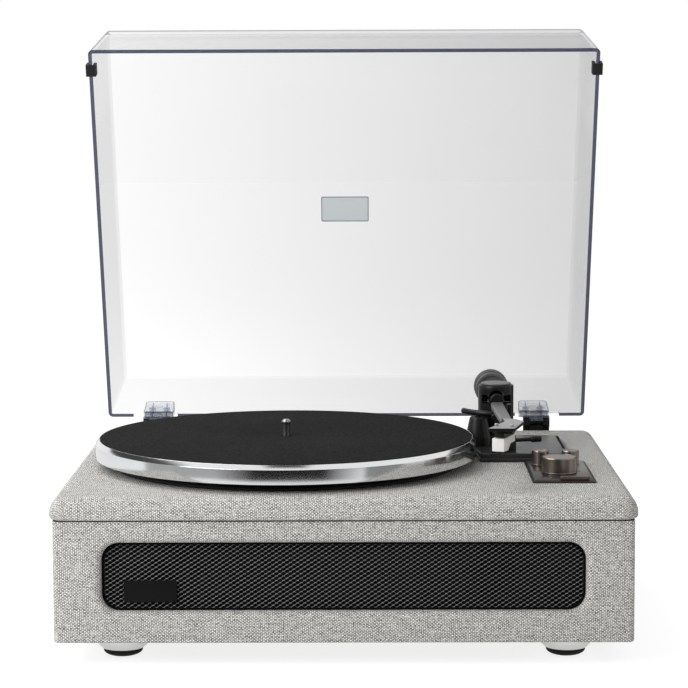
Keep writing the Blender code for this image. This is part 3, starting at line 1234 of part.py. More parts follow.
def make_hinge_base(name, x):
    """A black bracket on the cabinet's rear: a plate that follows the overhang, and two knuckles."""
    near = BOARD_DEPTH / 2 + FIT - HINGE_Y
    body = BODY_DEPTH / 2 + FIT - HINGE_Y
    seam = -BOARD_THICKNESS - HINGE_Z
    far = near + HINGE_PLATE_THICKNESS
    low = -HINGE_PLATE_DROP - HINGE_Z
    top = HINGE_PLATE_TOP - HINGE_Z
    outline = [(near, top), (near, seam - FIT), (body, seam - FIT - OVERHANG), (body, low),
               (far - OVERHANG, low), (far, low + OVERHANG), (far, top)]
    half = HINGE_WIDTH / 2
    bracket = add_part(name, along_x(plate([outline], -half, half)), black_plastic, deck, (x, HINGE_Y, HINGE_Z))
    inner = KNUCKLE_WIDTH / 2 + FIT
    for side in (-1, 1):
        root = top - FIT - KNUCKLE_RADIUS / 2
        ear = arc(0, 0, KNUCKLE_RADIUS, 0, math.pi, 2 * CORNER_STEPS) + [(-KNUCKLE_RADIUS, root / 2),
                                                                        (near, root), (far, root)]
        low_x, high_x = sorted((side * inner, side * half))
        join(bracket, along_x(plate([ear], low_x, high_x)))
    hole = along_x(round_bar(HINGE_PIN_RADIUS + FIT, -inner - HINGE_PIN_REACH, inner + HINGE_PIN_REACH, PIN_STEPS))
    cut(bracket, hole)


def make_hinge_tongue(name, x, lid):
    """The moving leaf: a knuckle with two stub pins and an L-shaped tongue that enters the pocket."""
    half = KNUCKLE_WIDTH / 2
    end = half + HINGE_PIN_REACH - FIT
    outline = [(0, end), (HINGE_PIN_RADIUS, end), (HINGE_PIN_RADIUS, half), (KNUCKLE_RADIUS, half),
               (KNUCKLE_RADIUS, -half), (HINGE_PIN_RADIUS, -half), (HINGE_PIN_RADIUS, -end), (0, -end)]
    tongue = add_turned(name, turned(outline, SMALL_STEPS), black_plastic, lid, (x, 0, 0), (0, math.pi / 2, 0))
    rear = tongue_rear() - HINGE_Y
    front = rear - TONGUE_THICKNESS
    low = TONGUE_LOW - HINGE_Z
    high = low + TONGUE_THICKNESS
    leaf = [(-KNUCKLE_RADIUS / 2, low), (-KNUCKLE_RADIUS / 2, high), (rear, high), (rear, low + TONGUE_REACH),
            (front, low + TONGUE_REACH), (front, low)]
    shape = along_x(plate([leaf], -half, half))
    shape.transform(Matrix.Rotation(-math.pi / 2, 4, "Y"))
    join(tongue, shape)


def tongue_rear():
    """The rear face of the tongue's upright leaf, in the middle of the pocket."""
    return pocket_rear() - (POCKET_DEPTH - TONGUE_THICKNESS) / 2


def pocket_rear():
    """The pocket's rear face at the lid's rim; it leans forward with the lid's rear wall."""
    return LID_REAR - LID_WALL - 2 * FIT


def make_pocket(name, x, lid):
    """The clear pocket on the lid's rear wall, slotted from below for the tongue."""
    rear = pocket_rear() - HINGE_Y
    front = rear - POCKET_DEPTH
    lean = LID_REAR_DRAFT * POCKET_HEIGHT / LID_HEIGHT
    low = LID_GAP - HINGE_Z
    high = low + POCKET_HEIGHT
    half = POCKET_WIDTH / 2
    shape = box((-half, front, low), (half, rear, high))
    bm = bmesh.new()
    bm.from_mesh(shape)
    for vert in bm.verts:
        if vert.co.z > low + POCKET_HEIGHT / 2:
            vert.co.x *= POCKET_DRAFT_SHARE
            vert.co.y -= lean
    bm.to_mesh(shape)
    bm.free()
    rounded(shape, lambda a, b: max(a.y, b.y) < rear - POCKET_DEPTH / 2 and a.z + b.z > 2 * low + FIT, LID_WALL / 4, 1)
    pocket = add_part(name, shape, clear, lid, (x, 0, 0))
    slot_rear = tongue_rear() - HINGE_Y + FIT
    slot_front = slot_rear - TONGUE_THICKNESS - 2 * FIT
    slot = KNUCKLE_WIDTH / 2 + FIT
    top = TONGUE_LOW - HINGE_Z + TONGUE_REACH + FIT
    cut(pocket, box((-slot, slot_front, low - OVERRUN), (slot, slot_rear, top)))
    mouth = TONGUE_LOW - HINGE_Z + TONGUE_THICKNESS + FIT
    cut(pocket, box((-slot, slot_front, low - OVERRUN), (slot, rear + OVERRUN, mouth)))


def make_bumper(name, side, lid):
    """A rubber clip astride the side rim near the front corner, open above for the drafted wall."""
    draft = LID_SIDE_DRAFT / LID_HEIGHT * BUMPER_HEIGHT
    outer = LID_WIDTH / 2 + FIT
    inner = outer - LID_WALL - 2 * FIT
    low = LID_GAP - FIT - HINGE_Z
    skin = (BUMPER_WIDTH - LID_WALL) / 2
    sole = FIT - HINGE_Z
    top = low + BUMPER_HEIGHT
    outline = [(inner - skin, sole), (outer + skin, sole), (outer + skin - draft, top), (outer - draft, top),
               (outer, low), (inner, low), (inner - draft, top), (inner - skin - draft, top)]
    middle = LID_REAR - LID_DEPTH + BUMPER_REACH + BUMPER_LENGTH / 2 - HINGE_Y
    half = BUMPER_LENGTH / 2
    outline = [(side * x, z) for x, z in outline]
    shape = along_y(plate([outline], -half - middle, half - middle))
    add_part(name, shape, rubber, lid)


def make_lid():
    """Everything that turns about the hinge line, held open."""
    lid = empty("lid_hinge", deck, (0, HINGE_Y, HINGE_Z), (-LID_OPEN, 0, 0))
    make_dust_cover(lid)
    for name, side in (("left", -1), ("right", 1)):
        x = side * HINGE_SPACING / 2
        make_hinge_base("hinge_base_" + name, x)
        make_hinge_tongue("hinge_tongue_" + name, x, lid)
        make_pocket("hinge_pocket_" + name, x, lid)
        make_bumper("bumper_" + name, side, lid)


def stand_on_origin():
    """Move everything so that the origin is under the middle of the whole part, on the floor."""
    bpy.context.view_layer.update()
    view = bpy.context.evaluated_depsgraph_get()
    places = []
    for part in parts.objects:
        if part.type == "MESH":
            seen = part.evaluated_get(view)
            places += [seen.matrix_world @ vert.co for vert in seen.data.vertices]
    for axis in (0, 1):
        low = min(place[axis] for place in places)
        high = max(place[axis] for place in places)
        stand.location[axis] = -(low + high) / 2
    stand.location[2] = -min(place[2] for place in places)
    bpy.context.view_layer.update()


make_cabinet()
make_top_board()
make_feet()
make_grille()
make_baffle()
make_speakers()
make_jack_panel()
make_sockets()
make_rocker()
make_tray()
make_motor()
make_bearing()
make_platter()
make_tonearm_base()
make_column()
arm_swing = empty("arm_swing", deck, (PIVOT_X, PIVOT_Y, 0))
arm_tilt = empty("arm_tilt", arm_swing, (0, 0, ARM_HEIGHT))
make_housing(arm_swing)
make_arm(arm_tilt)
make_cartridge(arm_tilt)
make_counterweight(arm_tilt)
make_arm_rest()
make_lift()
make_cue_lever()
make_control_plate()
make_amplifier()
make_knobs()
make_lid()
stand_on_origin()

for part in parts.objects:
    if part.type == "EMPTY":
        print(part.name, [round(value, 6) for value in part.matrix_world.translation])
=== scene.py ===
import functools
import json
import math

import bmesh
import bpy
import numpy as np
from mathutils import Matrix, Vector

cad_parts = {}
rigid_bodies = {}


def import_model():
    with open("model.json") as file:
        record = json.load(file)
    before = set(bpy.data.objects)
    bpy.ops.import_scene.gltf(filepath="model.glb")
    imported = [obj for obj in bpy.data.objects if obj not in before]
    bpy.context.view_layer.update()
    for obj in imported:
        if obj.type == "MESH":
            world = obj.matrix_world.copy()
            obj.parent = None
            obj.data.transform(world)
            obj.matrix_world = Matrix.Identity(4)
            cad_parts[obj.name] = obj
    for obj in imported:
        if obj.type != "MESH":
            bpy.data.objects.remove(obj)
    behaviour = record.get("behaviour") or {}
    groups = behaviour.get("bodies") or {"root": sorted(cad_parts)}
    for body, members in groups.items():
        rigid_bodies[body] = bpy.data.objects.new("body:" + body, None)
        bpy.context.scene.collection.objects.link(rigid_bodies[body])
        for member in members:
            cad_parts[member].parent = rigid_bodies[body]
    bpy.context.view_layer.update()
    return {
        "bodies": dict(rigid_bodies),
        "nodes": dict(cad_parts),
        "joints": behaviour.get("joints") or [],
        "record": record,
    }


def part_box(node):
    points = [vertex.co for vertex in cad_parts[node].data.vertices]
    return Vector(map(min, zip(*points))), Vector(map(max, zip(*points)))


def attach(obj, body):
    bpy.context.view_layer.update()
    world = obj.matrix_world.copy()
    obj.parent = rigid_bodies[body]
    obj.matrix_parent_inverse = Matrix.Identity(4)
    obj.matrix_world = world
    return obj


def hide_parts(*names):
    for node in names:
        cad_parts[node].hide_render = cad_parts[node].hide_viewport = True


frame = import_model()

# Lengths below are millimetres from the middle of the deck, the top face of the cloth-wrapped board.
# X runs to the right, Y to the rear and Z up. makePiece turns them into metres in the frame.
mm = 0.001
boardLow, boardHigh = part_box("top_board")
deck = np.array([(boardLow.x + boardHigh.x) / 2, (boardLow.y + boardHigh.y) / 2, boardHigh.z]) / mm
floorLevel = -deck[2]
joints = {joint["name"]: joint for joint in frame["joints"]}
fullTurn = 2 * math.pi
nearlyStraight = 1.55  # half a corner's angle, in radians, past which it needs no arc
reachShare = 0.48      # the most of a side that one corner's arc may take
weldGap = 0.000002     # points nearer than this, in metres, are one


def jointPlace(name):
    # where a joint's axis passes, from the middle of the deck
    return np.array(joints[name]["pos_m"]) / mm - deck


# Surfaces: each function gives (points, faces, uv of every face corner)

def wrapped(rows):
    # rows whose first column stands once more at their end
    return np.concatenate([rows, rows[:, :1]], 1)


def quarter(steps):
    # the angles of a quarter turn in equal steps
    return np.linspace(0, math.pi / 2, steps + 1)


def lengthAlong(path):
    # the way from a path's start to each of its points
    return np.r_[0, np.cumsum(np.linalg.norm(np.diff(path, axis=0), axis=1))]


def surface(grid, uv=None, wrap=False):
    # quads between neighbouring rows and columns of a grid of points; wrap joins the last column to the first
    rows, columns = grid.shape[:2]
    index = np.arange(rows * columns).reshape(rows, columns)
    if wrap:
        index = wrapped(index)
    quads = np.stack([index[:-1, :-1], index[:-1, 1:], index[1:, 1:], index[1:, :-1]], -1).reshape(-1, 4)
    if uv is None:
        uv = np.stack(np.meshgrid(np.arange(index.shape[1]), np.arange(rows)), -1)
    spots = np.arange(uv.shape[0] * uv.shape[1]).reshape(uv.shape[:2])
    corners = np.stack([spots[:-1, :-1], spots[:-1, 1:], spots[1:, 1:], spots[1:, :-1]], -1).reshape(-1, 4)
    return grid.reshape(-1, 3), [quads], [uv.reshape(-1, 2)[corners].reshape(-1, 2)]


def cap(loop, uv=None):
    # one flat face across a closed loop
    return loop, [np.arange(len(loop))[None, :]], [loop[:, :2] if uv is None else uv]


def lathe(profile, steps):
    # a profile of (radius, height) turned once round Z: x = r cos t, y = r sin t, z = height
    profile = np.asarray(profile, float)
    turn = np.arange(steps + 1) * fullTurn / steps
    radius, height = profile[:, :1], profile[:, 1:]
    grid = np.stack([radius * np.cos(turn), radius * np.sin(turn), height + 0 * turn], -1)[:, :-1]
    return surface(grid, np.stack(np.meshgrid(turn * profile[:, 0].max(), lengthAlong(profile)), -1), True)


def eased(corners, radius, steps=4, closed=True):
    # a path whose corners are each replaced with an arc that meets both sides at r / tan(half the angle)
    corners = np.asarray(corners, float)
    radii = np.broadcast_to(radius, len(corners))
    points = []
    for i, corner in enumerate(corners):
        if not closed and i in (0, len(corners) - 1) or radii[i] <= 0:
            points.append(corner[None])
            continue
        back, ahead = corners[i - 1] - corner, corners[(i + 1) % len(corners)] - corner
        reach = min(np.linalg.norm(back), np.linalg.norm(ahead))
        back, ahead = back / np.linalg.norm(back), ahead / np.linalg.norm(ahead)
        half = math.acos(np.clip(back @ ahead, -1, 1)) / 2
        if half > nearlyStraight:
            points.append(corner[None])
            continue
        cutBack = min(radii[i] / math.tan(half), reach * reachShare)
        arcRadius = cutBack * math.tan(half)
        middle = corner + (back + ahead) / np.linalg.norm(back + ahead) * arcRadius / math.sin(half)
        first, last = corner + back * cutBack - middle, corner + ahead * cutBack - middle
        share = np.linspace(0, 1, steps + 1)[:, None]
        span = math.pi - 2 * half
        swept = first * np.sin((1 - share) * span) + last * np.sin(share * span)
        points.append(middle + swept / math.sin(span))
    return np.concatenate(points)


def inset(outline, distance):
    # every point of a counter-clockwise outline moved inwards along the mitre of its two edges
    ahead = np.roll(outline, -1, 0) - outline
    ahead = ahead / np.maximum(np.linalg.norm(ahead, axis=1, keepdims=True), 1e-9)
    normal = np.stack([-ahead[:, 1], ahead[:, 0]], 1)
    before = np.roll(normal, 1, 0)
    mitre = (normal + before) / np.maximum(1 + (normal * before).sum(1, keepdims=True), 0.2)
    return outline + distance * mitre


def lifted(loop, height):
    # a flat loop carried up to a height
    return np.c_[loop, np.full(len(loop), height)]


def upright(loop, y):
    # a flat loop stood up, its second axis along Z
    return np.c_[loop[:, 0], np.full(len(loop), y), loop[:, 1]]


def anticlockwise(outline):
    # the outline in counter-clockwise order, where the sum of its cross products is above zero
    x, y = outline.T
    return outline if np.sum(x * np.roll(y, -1) - y * np.roll(x, -1)) > 0 else outline[::-1]


def prism(outline, low, high, top=0.0, under=0.0, steps=3):
    # an outline carried up in Z; near each end it draws in on a quarter circle, and flat faces close it
    rows = [(under * (1 - math.sin(t)), low + under * (1 - math.cos(t)))
            for t in quarter(steps if under else 0)]
    rows += [(top * (1 - math.cos(t)), high - top * (1 - math.sin(t))) for t in quarter(steps if top else 0)]
    return loft([lifted(inset(np.asarray(outline, float), depth), z) for depth, z in rows])


def tube(path, radii, steps=16, upward=(0, 0, 1)):
    # a circle carried along a path, square to it, with a radius of its own at each point; flat ends
    path = np.asarray(path, float)
    radii = np.broadcast_to(radii, len(path)).astype(float)[:, None, None]
    ahead = np.gradient(path, axis=0)
    ahead /= np.linalg.norm(ahead, axis=1, keepdims=True)
    side = np.cross(ahead, upward)
    side /= np.linalg.norm(side, axis=1, keepdims=True)
    rise = np.cross(side, ahead)
    turn = (np.arange(steps) * fullTurn / steps)[None, :, None]
    return loft(path[:, None] + radii * (np.cos(turn) * side[:, None] + np.sin(turn) * rise[:, None]))


def loft(rings, ends=True):
    # a skin through rings of equally many points
    grid = np.asarray(rings, float)
    return joined(surface(grid, None, True), *([cap(grid[0]), cap(grid[-1])] if ends else []))


def band(outer, inner, low, high):
    # a closed frame between two outlines of equally many points
    rows = ((outer, low), (outer, high), (inner, high), (inner, low), (outer, low))
    return loft([lifted(loop, z) for loop, z in rows], False)


def joined(*surfaces):
    points, faces, corners, start = [], [], [], 0
    for part in surfaces:
        points.append(part[0])
        faces += [group + start for group in part[1]]
        corners += part[2]
        start += len(part[0])
    return np.concatenate(points), faces, corners


def placed(part, shift=(0, 0, 0), turn=None):
    # points turned by a 3 x 3 matrix, then shifted
    points = part[0] if turn is None else part[0] @ np.asarray(turn, float).T
    return points + np.asarray(shift, float), part[1], part[2]


def turnAbout(axis, degrees):
    # the matrix that turns points about one of the three axes
    c, s = math.cos(math.radians(degrees)), math.sin(math.radians(degrees))
    a, b = {"x": (1, 2), "y": (2, 0), "z": (0, 1)}[axis]
    matrix = np.eye(3)
    matrix[a, a] = matrix[b, b] = c
    matrix[a, b], matrix[b, a] = -s, s
    return matrix


def turned(corners, radii, steps, spot=(0, 0, 0), turn=None, arc=3, closed=True):
    # a section with eased corners, closed or from axis to axis, turned once round Z and put in its place
    section = eased(corners, radii, arc, closed)
    return placed(lathe(np.r_[section, section[:1]] if closed else section, steps), spot, turn)


alongX = np.array([[0, 0, 1], [1, 0, 0], [0, 1, 0]], float)   # drawn in Y and Z, built along X
alongY = np.array([[1, 0, 0], [0, 0, -1], [0, 1, 0]], float)  # drawn in X and Z, built along -Y


def roundedBox(halfX, halfY, corner, steps=8):
    return eased([(-halfX, -halfY), (halfX, -halfY), (halfX, halfY), (-halfX, halfY)], corner, steps)


def ring(radius, steps):
    turn = np.arange(steps) * fullTurn / steps
    return radius * np.c_[np.cos(turn), np.sin(turn)]


def countFaces(part):
    return sum(len(group) for group in part[1])


def linked(name, data):
    thing = bpy.data.objects.new(name, data)
    bpy.context.scene.collection.objects.link(thing)
    return thing


def makePiece(name, part, finish, body, replaces=(), sharp=38, finishOf=None, bevel=0.0):
    # one welded mesh whose faces point outwards, put in the frame and riding on its body
    points, faces, corners = part
    mesh = bpy.data.meshes.new(name)
    quads = [face for group in faces for face in group.tolist()]
    mesh.from_pydata(((points + deck) * mm).tolist(), [], quads)
    layer = mesh.uv_layers.new(name="UVMap")
    layer.data.foreach_set("uv", np.concatenate(corners).astype(np.float32).ravel())
    finishes = finish if isinstance(finish, (list, tuple)) else [finish]
    for one in finishes:
        mesh.materials.append(one)
    if finishOf is not None:
        mesh.polygons.foreach_set("material_index", np.asarray(finishOf, np.int32))
    work = bmesh.new()
    work.from_mesh(mesh)
    bmesh.ops.remove_doubles(work, verts=work.verts, dist=weldGap)
    bmesh.ops.recalc_face_normals(work, faces=work.faces)
    work.to_mesh(mesh)
    work.free()
    mesh.shade_smooth()
    mesh.set_sharp_from_angle(angle=math.radians(sharp))
    piece = linked(name, mesh)
    if bevel:
        edge = piece.modifiers.new("edge", "BEVEL")
        edge.width, edge.segments = bevel * mm, 2
        edge.limit_method, edge.angle_limit = "ANGLE", math.radians(40)
    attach(piece, body)
    if replaces:
        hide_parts(*replaces)
    return piece


# Finishes: a small class wraps a socket so that shader maths reads as Python

class Value:
    def __init__(self, recipe, socket):
        self.recipe, self.socket = recipe, socket

    def maths(self, operation, *others):
        return self.recipe.add("ShaderNodeMath", {"operation": operation}, dict(enumerate((self, *others))))

    def __rsub__(self, other):
        return self.recipe.add("ShaderNodeMath", {"operation": "SUBTRACT"}, {0: other, 1: self})

    __add__ = __radd__ = functools.partialmethod(maths, "ADD")
    __mul__ = __rmul__ = functools.partialmethod(maths, "MULTIPLY")
    __sub__ = functools.partialmethod(maths, "SUBTRACT")
    __pow__ = functools.partialmethod(maths, "POWER")
    __abs__ = functools.partialmethod(maths, "ABSOLUTE")

    def __getitem__(self, name):
        return Value(self.recipe, self.socket.node.outputs[name])


class Nodes:
    # the nodes of one material or of the world
    def __init__(self, tree):
        self.tree = tree

    def add(self, kind, settings=None, inputs=None, output=0):
        # any node: its settings first, then the values or links of its sockets
        node = self.tree.nodes.new(kind)
        for key, value in (settings or {}).items():
            setattr(node, key, value)
        for key, value in (inputs or {}).items():
            self.feed(node.inputs[key], value)
        return Value(self, node.outputs[output]) if node.outputs else None

    def feed(self, socket, value):
        if isinstance(value, Value):
            self.tree.links.new(value.socket, socket)
        elif hasattr(value, "__len__") and socket.type == "RGBA":
            socket.default_value = (*value[:3], 1.0)
        else:
            socket.default_value = value

    def place(self, scale=(1, 1, 1), source="Object"):
        # coordinates in the part's own frame, or its UV map, stretched by a scale
        if source == "UV":
            start = self.add("ShaderNodeUVMap", {"uv_map": "UVMap"})
        else:
            start = self.add("ShaderNodeTexCoord", None, None, source)
        return self.stretch(start, scale)

    def stretch(self, vector, scale):
        return self.add("ShaderNodeMapping", None, {"Vector": vector, "Scale": scale})

    def split(self, vector):
        axes = self.add("ShaderNodeSeparateXYZ", None, {0: vector})
        return axes["X"], axes["Y"], axes["Z"]

    def noise(self, vector, scale, detail=2.0, roughness=0.5):
        return self.add("ShaderNodeTexNoise", None,
                        {"Vector": vector, "Scale": scale, "Detail": detail, "Roughness": roughness})

    def ramp(self, value, low, high):
        # 0 at low, 1 at high, straight between and held outside
        return self.add("ShaderNodeMapRange", {"clamp": True},
                        {"Value": value, "From Min": low, "From Max": high})

    def blend(self, share, first, second):
        return self.add("ShaderNodeMix", {"data_type": "RGBA"}, {0: share, 6: first, 7: second}, 2)

    def end(self, share, first, second, output="ShaderNodeOutputMaterial"):
        # the tree's last nodes: two shaders mixed by a share
        self.add(output, None, {0: self.add("ShaderNodeMixShader", None, {0: share, 1: first, 2: second})})


class Recipe(Nodes):
    # one finish: a Principled shader with its nodes
    def __init__(self, name, colour, roughness, metallic=0.0, specular=0.5):
        self.material = bpy.data.materials.new(name)
        self.material.use_nodes = True
        super().__init__(self.material.node_tree)
        self.shader = self.tree.nodes["Principled BSDF"]
        self.put("Base Color", colour)
        self.put("Roughness", roughness)
        self.put("Metallic", metallic)
        self.put("Specular IOR Level", specular)

    def put(self, socket, value):
        self.feed(self.shader.inputs[socket], value)

    def bump(self, height, distance, strength=1.0):
        self.put("Normal", self.add("ShaderNodeBump", None,
                                    {"Height": height, "Distance": distance, "Strength": strength}))


def emptyTree(owner):
    # the cleared nodes of a material or of the world
    owner.use_nodes = True
    owner.node_tree.nodes.clear()
    return Nodes(owner.node_tree)


def tone(red, green=None, blue=None):
    # a colour given as it looks on a screen, 0 to 255, made linear
    levels = np.array([red, red if green is None else green, red if blue is None else blue]) / 255
    return tuple(np.where(levels <= 0.04045, levels / 12.92, ((levels + 0.055) / 1.055) ** 2.4).tolist())


linenLook = {"cellU": 1.36, "cellV": 1.06, "relief": 0.00045, "wander": 2.2, "yarnAcross": 0.85,
             "yarnAlong": 0.07, "darkEnd": 0.42, "lightEnd": 0.98, "dark": tone(66, 64, 61),
             "mid": tone(190, 188, 184), "light": tone(252, 251, 249)}


def makeLinen():
    # a basket weave: sin(pi u / cellU) times sin(pi v / cellV) tells whether warp or weft is on top, and each
    # yarn is highest along its middle; noise drawn out along the yarns gives every yarn its own grey
    recipe = Recipe("linenWrap", linenLook["mid"], 0.92, 0.0, 0.2)
    place = recipe.place((1, 1, 1), "UV")
    reach = (linenLook["wander"], linenLook["wander"], 0)
    u, v, _ = recipe.split(recipe.add("ShaderNodeVectorMath", {"operation": "MULTIPLY_ADD"},
                                      {0: recipe.noise(place, 0.11, 2)["Color"], 1: reach, 2: place}))
    acrossWarp = (u * (math.pi / linenLook["cellU"])).maths("SINE")
    acrossWeft = (v * (math.pi / linenLook["cellV"])).maths("SINE")
    warpOnTop = recipe.ramp(acrossWarp * acrossWeft, -0.18, 0.18)
    height = abs(acrossWarp) ** 0.7 * abs(acrossWeft) ** 0.7
    dot = warpOnTop * height
    across, along = linenLook["yarnAcross"], linenLook["yarnAlong"]
    warpGrey = recipe.noise(recipe.stretch(place, (across, along, 1)), 1.0, 3)
    weftGrey = recipe.noise(recipe.stretch(place, (along, across, 1)), 1.0, 3)
    slub = recipe.noise(place, 1.1, 3, 0.7)
    yarn = warpOnTop * warpGrey + (1 - warpOnTop) * weftGrey
    patch = recipe.noise(place, 0.34, 4, 0.75)
    # painted shade: the weave is painted lighter on the yarns' raised middles and where the warp lies on top,
    # and darker between the yarns, following the relief; the yarn, slub and patch noises give the linen's own
    # tone
    weave = dot * 0.62 + height * 0.30 + (yarn - 0.5) * 0.7
    pale = recipe.ramp(weave + (slub - 0.5) * 0.9 + (patch - 0.5) * 0.9 + 0.12, 0.05, 0.90)
    darkEnd, lightEnd = linenLook["darkEnd"], linenLook["lightEnd"]
    lower = recipe.blend(recipe.ramp(pale, 0.0, darkEnd), linenLook["dark"], linenLook["mid"])
    recipe.put("Base Color", recipe.blend(recipe.ramp(pale, darkEnd, lightEnd), lower, linenLook["light"]))
    fuzz = recipe.noise(place, 3.4, 3, 0.6)
    recipe.bump(height * 0.8 + dot * 0.3 + fuzz * 0.3, linenLook["relief"], 0.9)
    recipe.put("Roughness", 0.98 - height * 0.10)
    return recipe.material


def moulded(name, colour, roughness, metallic=0.0, grain=1400, depth=0.00002, spread=0.08, specular=0.5):
    # moulded or cast stock: a fine even grain in the surface, with slow changes in gloss and shade
    recipe = Recipe(name, colour, roughness, metallic, specular)
    place = recipe.place()
    slow, fine = recipe.noise(place, 38, 3), recipe.noise(place, grain, 2, 0.6)
    recipe.put("Roughness", roughness - spread / 2 + spread * slow + (fine - 0.5) * spread)
    darker = tuple(c * 0.86 for c in colour)
    recipe.put("Base Color", recipe.blend(recipe.ramp(slow, 0.3, 0.7), darker, colour))
    recipe.bump(fine, depth, 0.6)
    return recipe.material


def brushedAround(name, colour, roughness, centre, metallic=1.0, ringPitch=1.4, spread=0.14, fade=0.86):
    # turned metal: noise that depends on radius and height only, so its fine lines run round the axis
    recipe = Recipe(name, colour, roughness, metallic)
    spot = tuple(((np.array(centre) + deck) * mm).tolist())
    shifted = recipe.add("ShaderNodeVectorMath", {"operation": "SUBTRACT"},
                         {0: recipe.add("ShaderNodeTexCoord", None, None, "Object"), 1: spot})
    x, y, z = recipe.split(shifted)
    radius, pitch = (x * x + y * y) ** 0.5, ringPitch / mm
    lines = recipe.add("ShaderNodeCombineXYZ", None, {0: radius * pitch, 1: z * pitch, 2: 0.3})
    fine = recipe.noise(lines, 2.2, 4, 0.75)
    slow = recipe.noise(shifted, 26, 3)
    recipe.put("Roughness", roughness + (fine - 0.5) * spread + (slow - 0.5) * 0.06)
    recipe.put("Base Color", recipe.blend(fine, tuple(c * fade for c in colour), colour))
    recipe.bump(fine, 0.00004 * (1 - fade), 0.5)
    return recipe.material


def makeFelt():
    # short matted fibres: two noises of different grain and a slow one
    recipe = Recipe("feltMat", tone(30), 0.97, 0.0, 0.06)
    place = recipe.place()
    fibre, tuft = recipe.noise(place, 1900, 4, 0.75), recipe.noise(place, 640, 3, 0.6)
    nap = recipe.noise(place, 30, 3)
    shade = recipe.ramp(fibre * 0.35 + tuft * 0.65 + (nap - 0.5) * 0.08, 0.38, 0.64)
    recipe.put("Base Color", recipe.blend(shade, tone(14, 13, 13), tone(45, 44, 44)))
    recipe.bump(fibre * 0.5 + tuft * 0.7, 0.00018, 0.6)
    return recipe.material


def makeClear(name, tint, roughness, alphaLow, alphaHigh, film=0.0, specular=0.5):
    # clear plastic: see-through straight on and more solid at a glancing angle, as gloss rises there; a
    # painted shade, standing in for a dark reflection, grows from the left end of the part to its right end
    recipe = Recipe(name, tint, roughness, 0.0, specular)
    place = recipe.place()
    cloud = recipe.noise(place, 9, 3)
    glance = recipe.add("ShaderNodeLayerWeight", None, {"Blend": 0.25}, "Facing")
    alpha = recipe.ramp(glance, 0.05, 0.95) * (alphaHigh - alphaLow) + alphaLow + (cloud - 0.5) * 0.02
    # film sets the strength of the painted shade from left to right
    if film:
        alpha = alpha + recipe.ramp(recipe.split(place)[0], -0.19, 0.19) * film
    recipe.put("Alpha", alpha)
    recipe.put("Roughness", roughness + (cloud - 0.5) * 0.03)
    return recipe.material


def makeMesh():
    # painted mesh with painted highlights: u tells the strands that lean one way from the others, which are
    # painted lighter as if lit from the left, and v rises at the bonds, which are painted as bright glints; a
    # noise adds wear
    recipe = Recipe("grilleBlack", tone(40), 0.34, 0.2, 0.25)
    lean, bond, _ = recipe.split(recipe.place((1, 1, 1), "UV"))
    wear = recipe.noise(recipe.place(), 900, 2)
    # painted highlight mixed with wear: lighter strands and glints at the bonds, with noise
    glintAndWear = recipe.ramp(lean * 0.14 + bond * bond * 1.2 + wear * 0.3 - 0.18, 0.0, 1.0)
    recipe.put("Base Color", recipe.blend(glintAndWear, tone(10), tone(164)))
    recipe.put("Roughness", 0.42 - glintAndWear * 0.16)
    return recipe.material


linen = makeLinen()
felt = makeFelt()
blackPlastic = moulded("blackPlastic", tone(20), 0.46, specular=0.3)
armBlack = moulded("armBlack", tone(16, 16, 17), 0.34, 0.0, 1100, 0.000008, specular=0.26)
baseBlack = moulded("baseBlack", tone(34, 34, 35), 0.33, 0.0, 1100, 0.000004, specular=0.6)
armGrey = moulded("armGrey", tone(100, 100, 99), 0.42, 0.2, 900, 0.000008)
headGrey = moulded("headGrey", tone(150, 150, 149), 0.42, 0.2, 900, 0.000008)
darkHollow = moulded("darkHollow", tone(6), 0.8, specular=0.1)
rubber = moulded("rubberPad", tone(26), 0.7, 0.0, 900, 0.00006, specular=0.3)
grilleBlack = makeMesh()
# dark board stock for the bottom panel, also used for the band in the seam, where it paints a shadow line
boardAndShadow = moulded("boardAndShadow", tone(22), 0.85, 0.0, 700, 0.00008)
badgeBlack = moulded("badgeBlack", tone(15), 0.50, 0.0, 1600, 0.000008, 0.04, specular=0.12)
steel = brushedAround("spindleSteel", tone(205), 0.24, (0, 0, 0), 1.0, 3.0)
brass = moulded("brass", tone(150, 128, 90), 0.36, 1.0)
paleShell = moulded("cartridgeShell", tone(222, 220, 216), 0.42, 0.0, 1200, 0.00002)
circuit = moulded("circuitBoard", tone(40, 88, 52), 0.5)
bronze = moulded("bronzePlate", tone(78, 73, 70), 0.30, 0.9, 1300, 0.000008, 0.06)
bronzeEdge = moulded("bronzeEdge", tone(52, 46, 43), 0.34, 0.6, 1300, 0.000008, 0.06)
bronzeBar = moulded("bronzeBar", tone(100, 88, 82), 0.34, 0.6, 1300, 0.000008, 0.06)
screwSteel = moulded("screwSteel", tone(176), 0.36, 0.8, 1300, 0.00001)
# the last value is the strength of the painted shade across the lid from left to right
clearSheet = makeClear("clearPlastic", tone(150, 151, 153), 0.06, 0.03, 0.36, 0.20)
# darker, more solid navy-grey copies of the clear finish for lines, edges, bends and ribs: painted reflection,
# standing in for light turned inside the plastic's thickness
clearLine = makeClear("clearLine", tone(58, 66, 108), 0.14, 0.55, 0.95, specular=0.3)
clearEdge = makeClear("clearEdge", tone(34, 40, 76), 0.16, 0.92, 1.0, specular=0.3)
clearBend = makeClear("clearBend", tone(92, 94, 102), 0.14, 0.66, 1.0, specular=0.3)
clearRib = makeClear("clearRib", tone(84, 90, 112), 0.14, 0.40, 0.86, specular=0.3)
clearPocket = makeClear("clearPocket", tone(206, 211, 226), 0.08, 0.16, 0.55)
labelFilm = makeClear("labelFilm", tone(216, 222, 226), 0.35, 0.62, 0.8)
labelEdge = moulded("labelEdge", tone(128, 137, 148), 0.5)
print("finishes made")


# Cloth-wrapped board

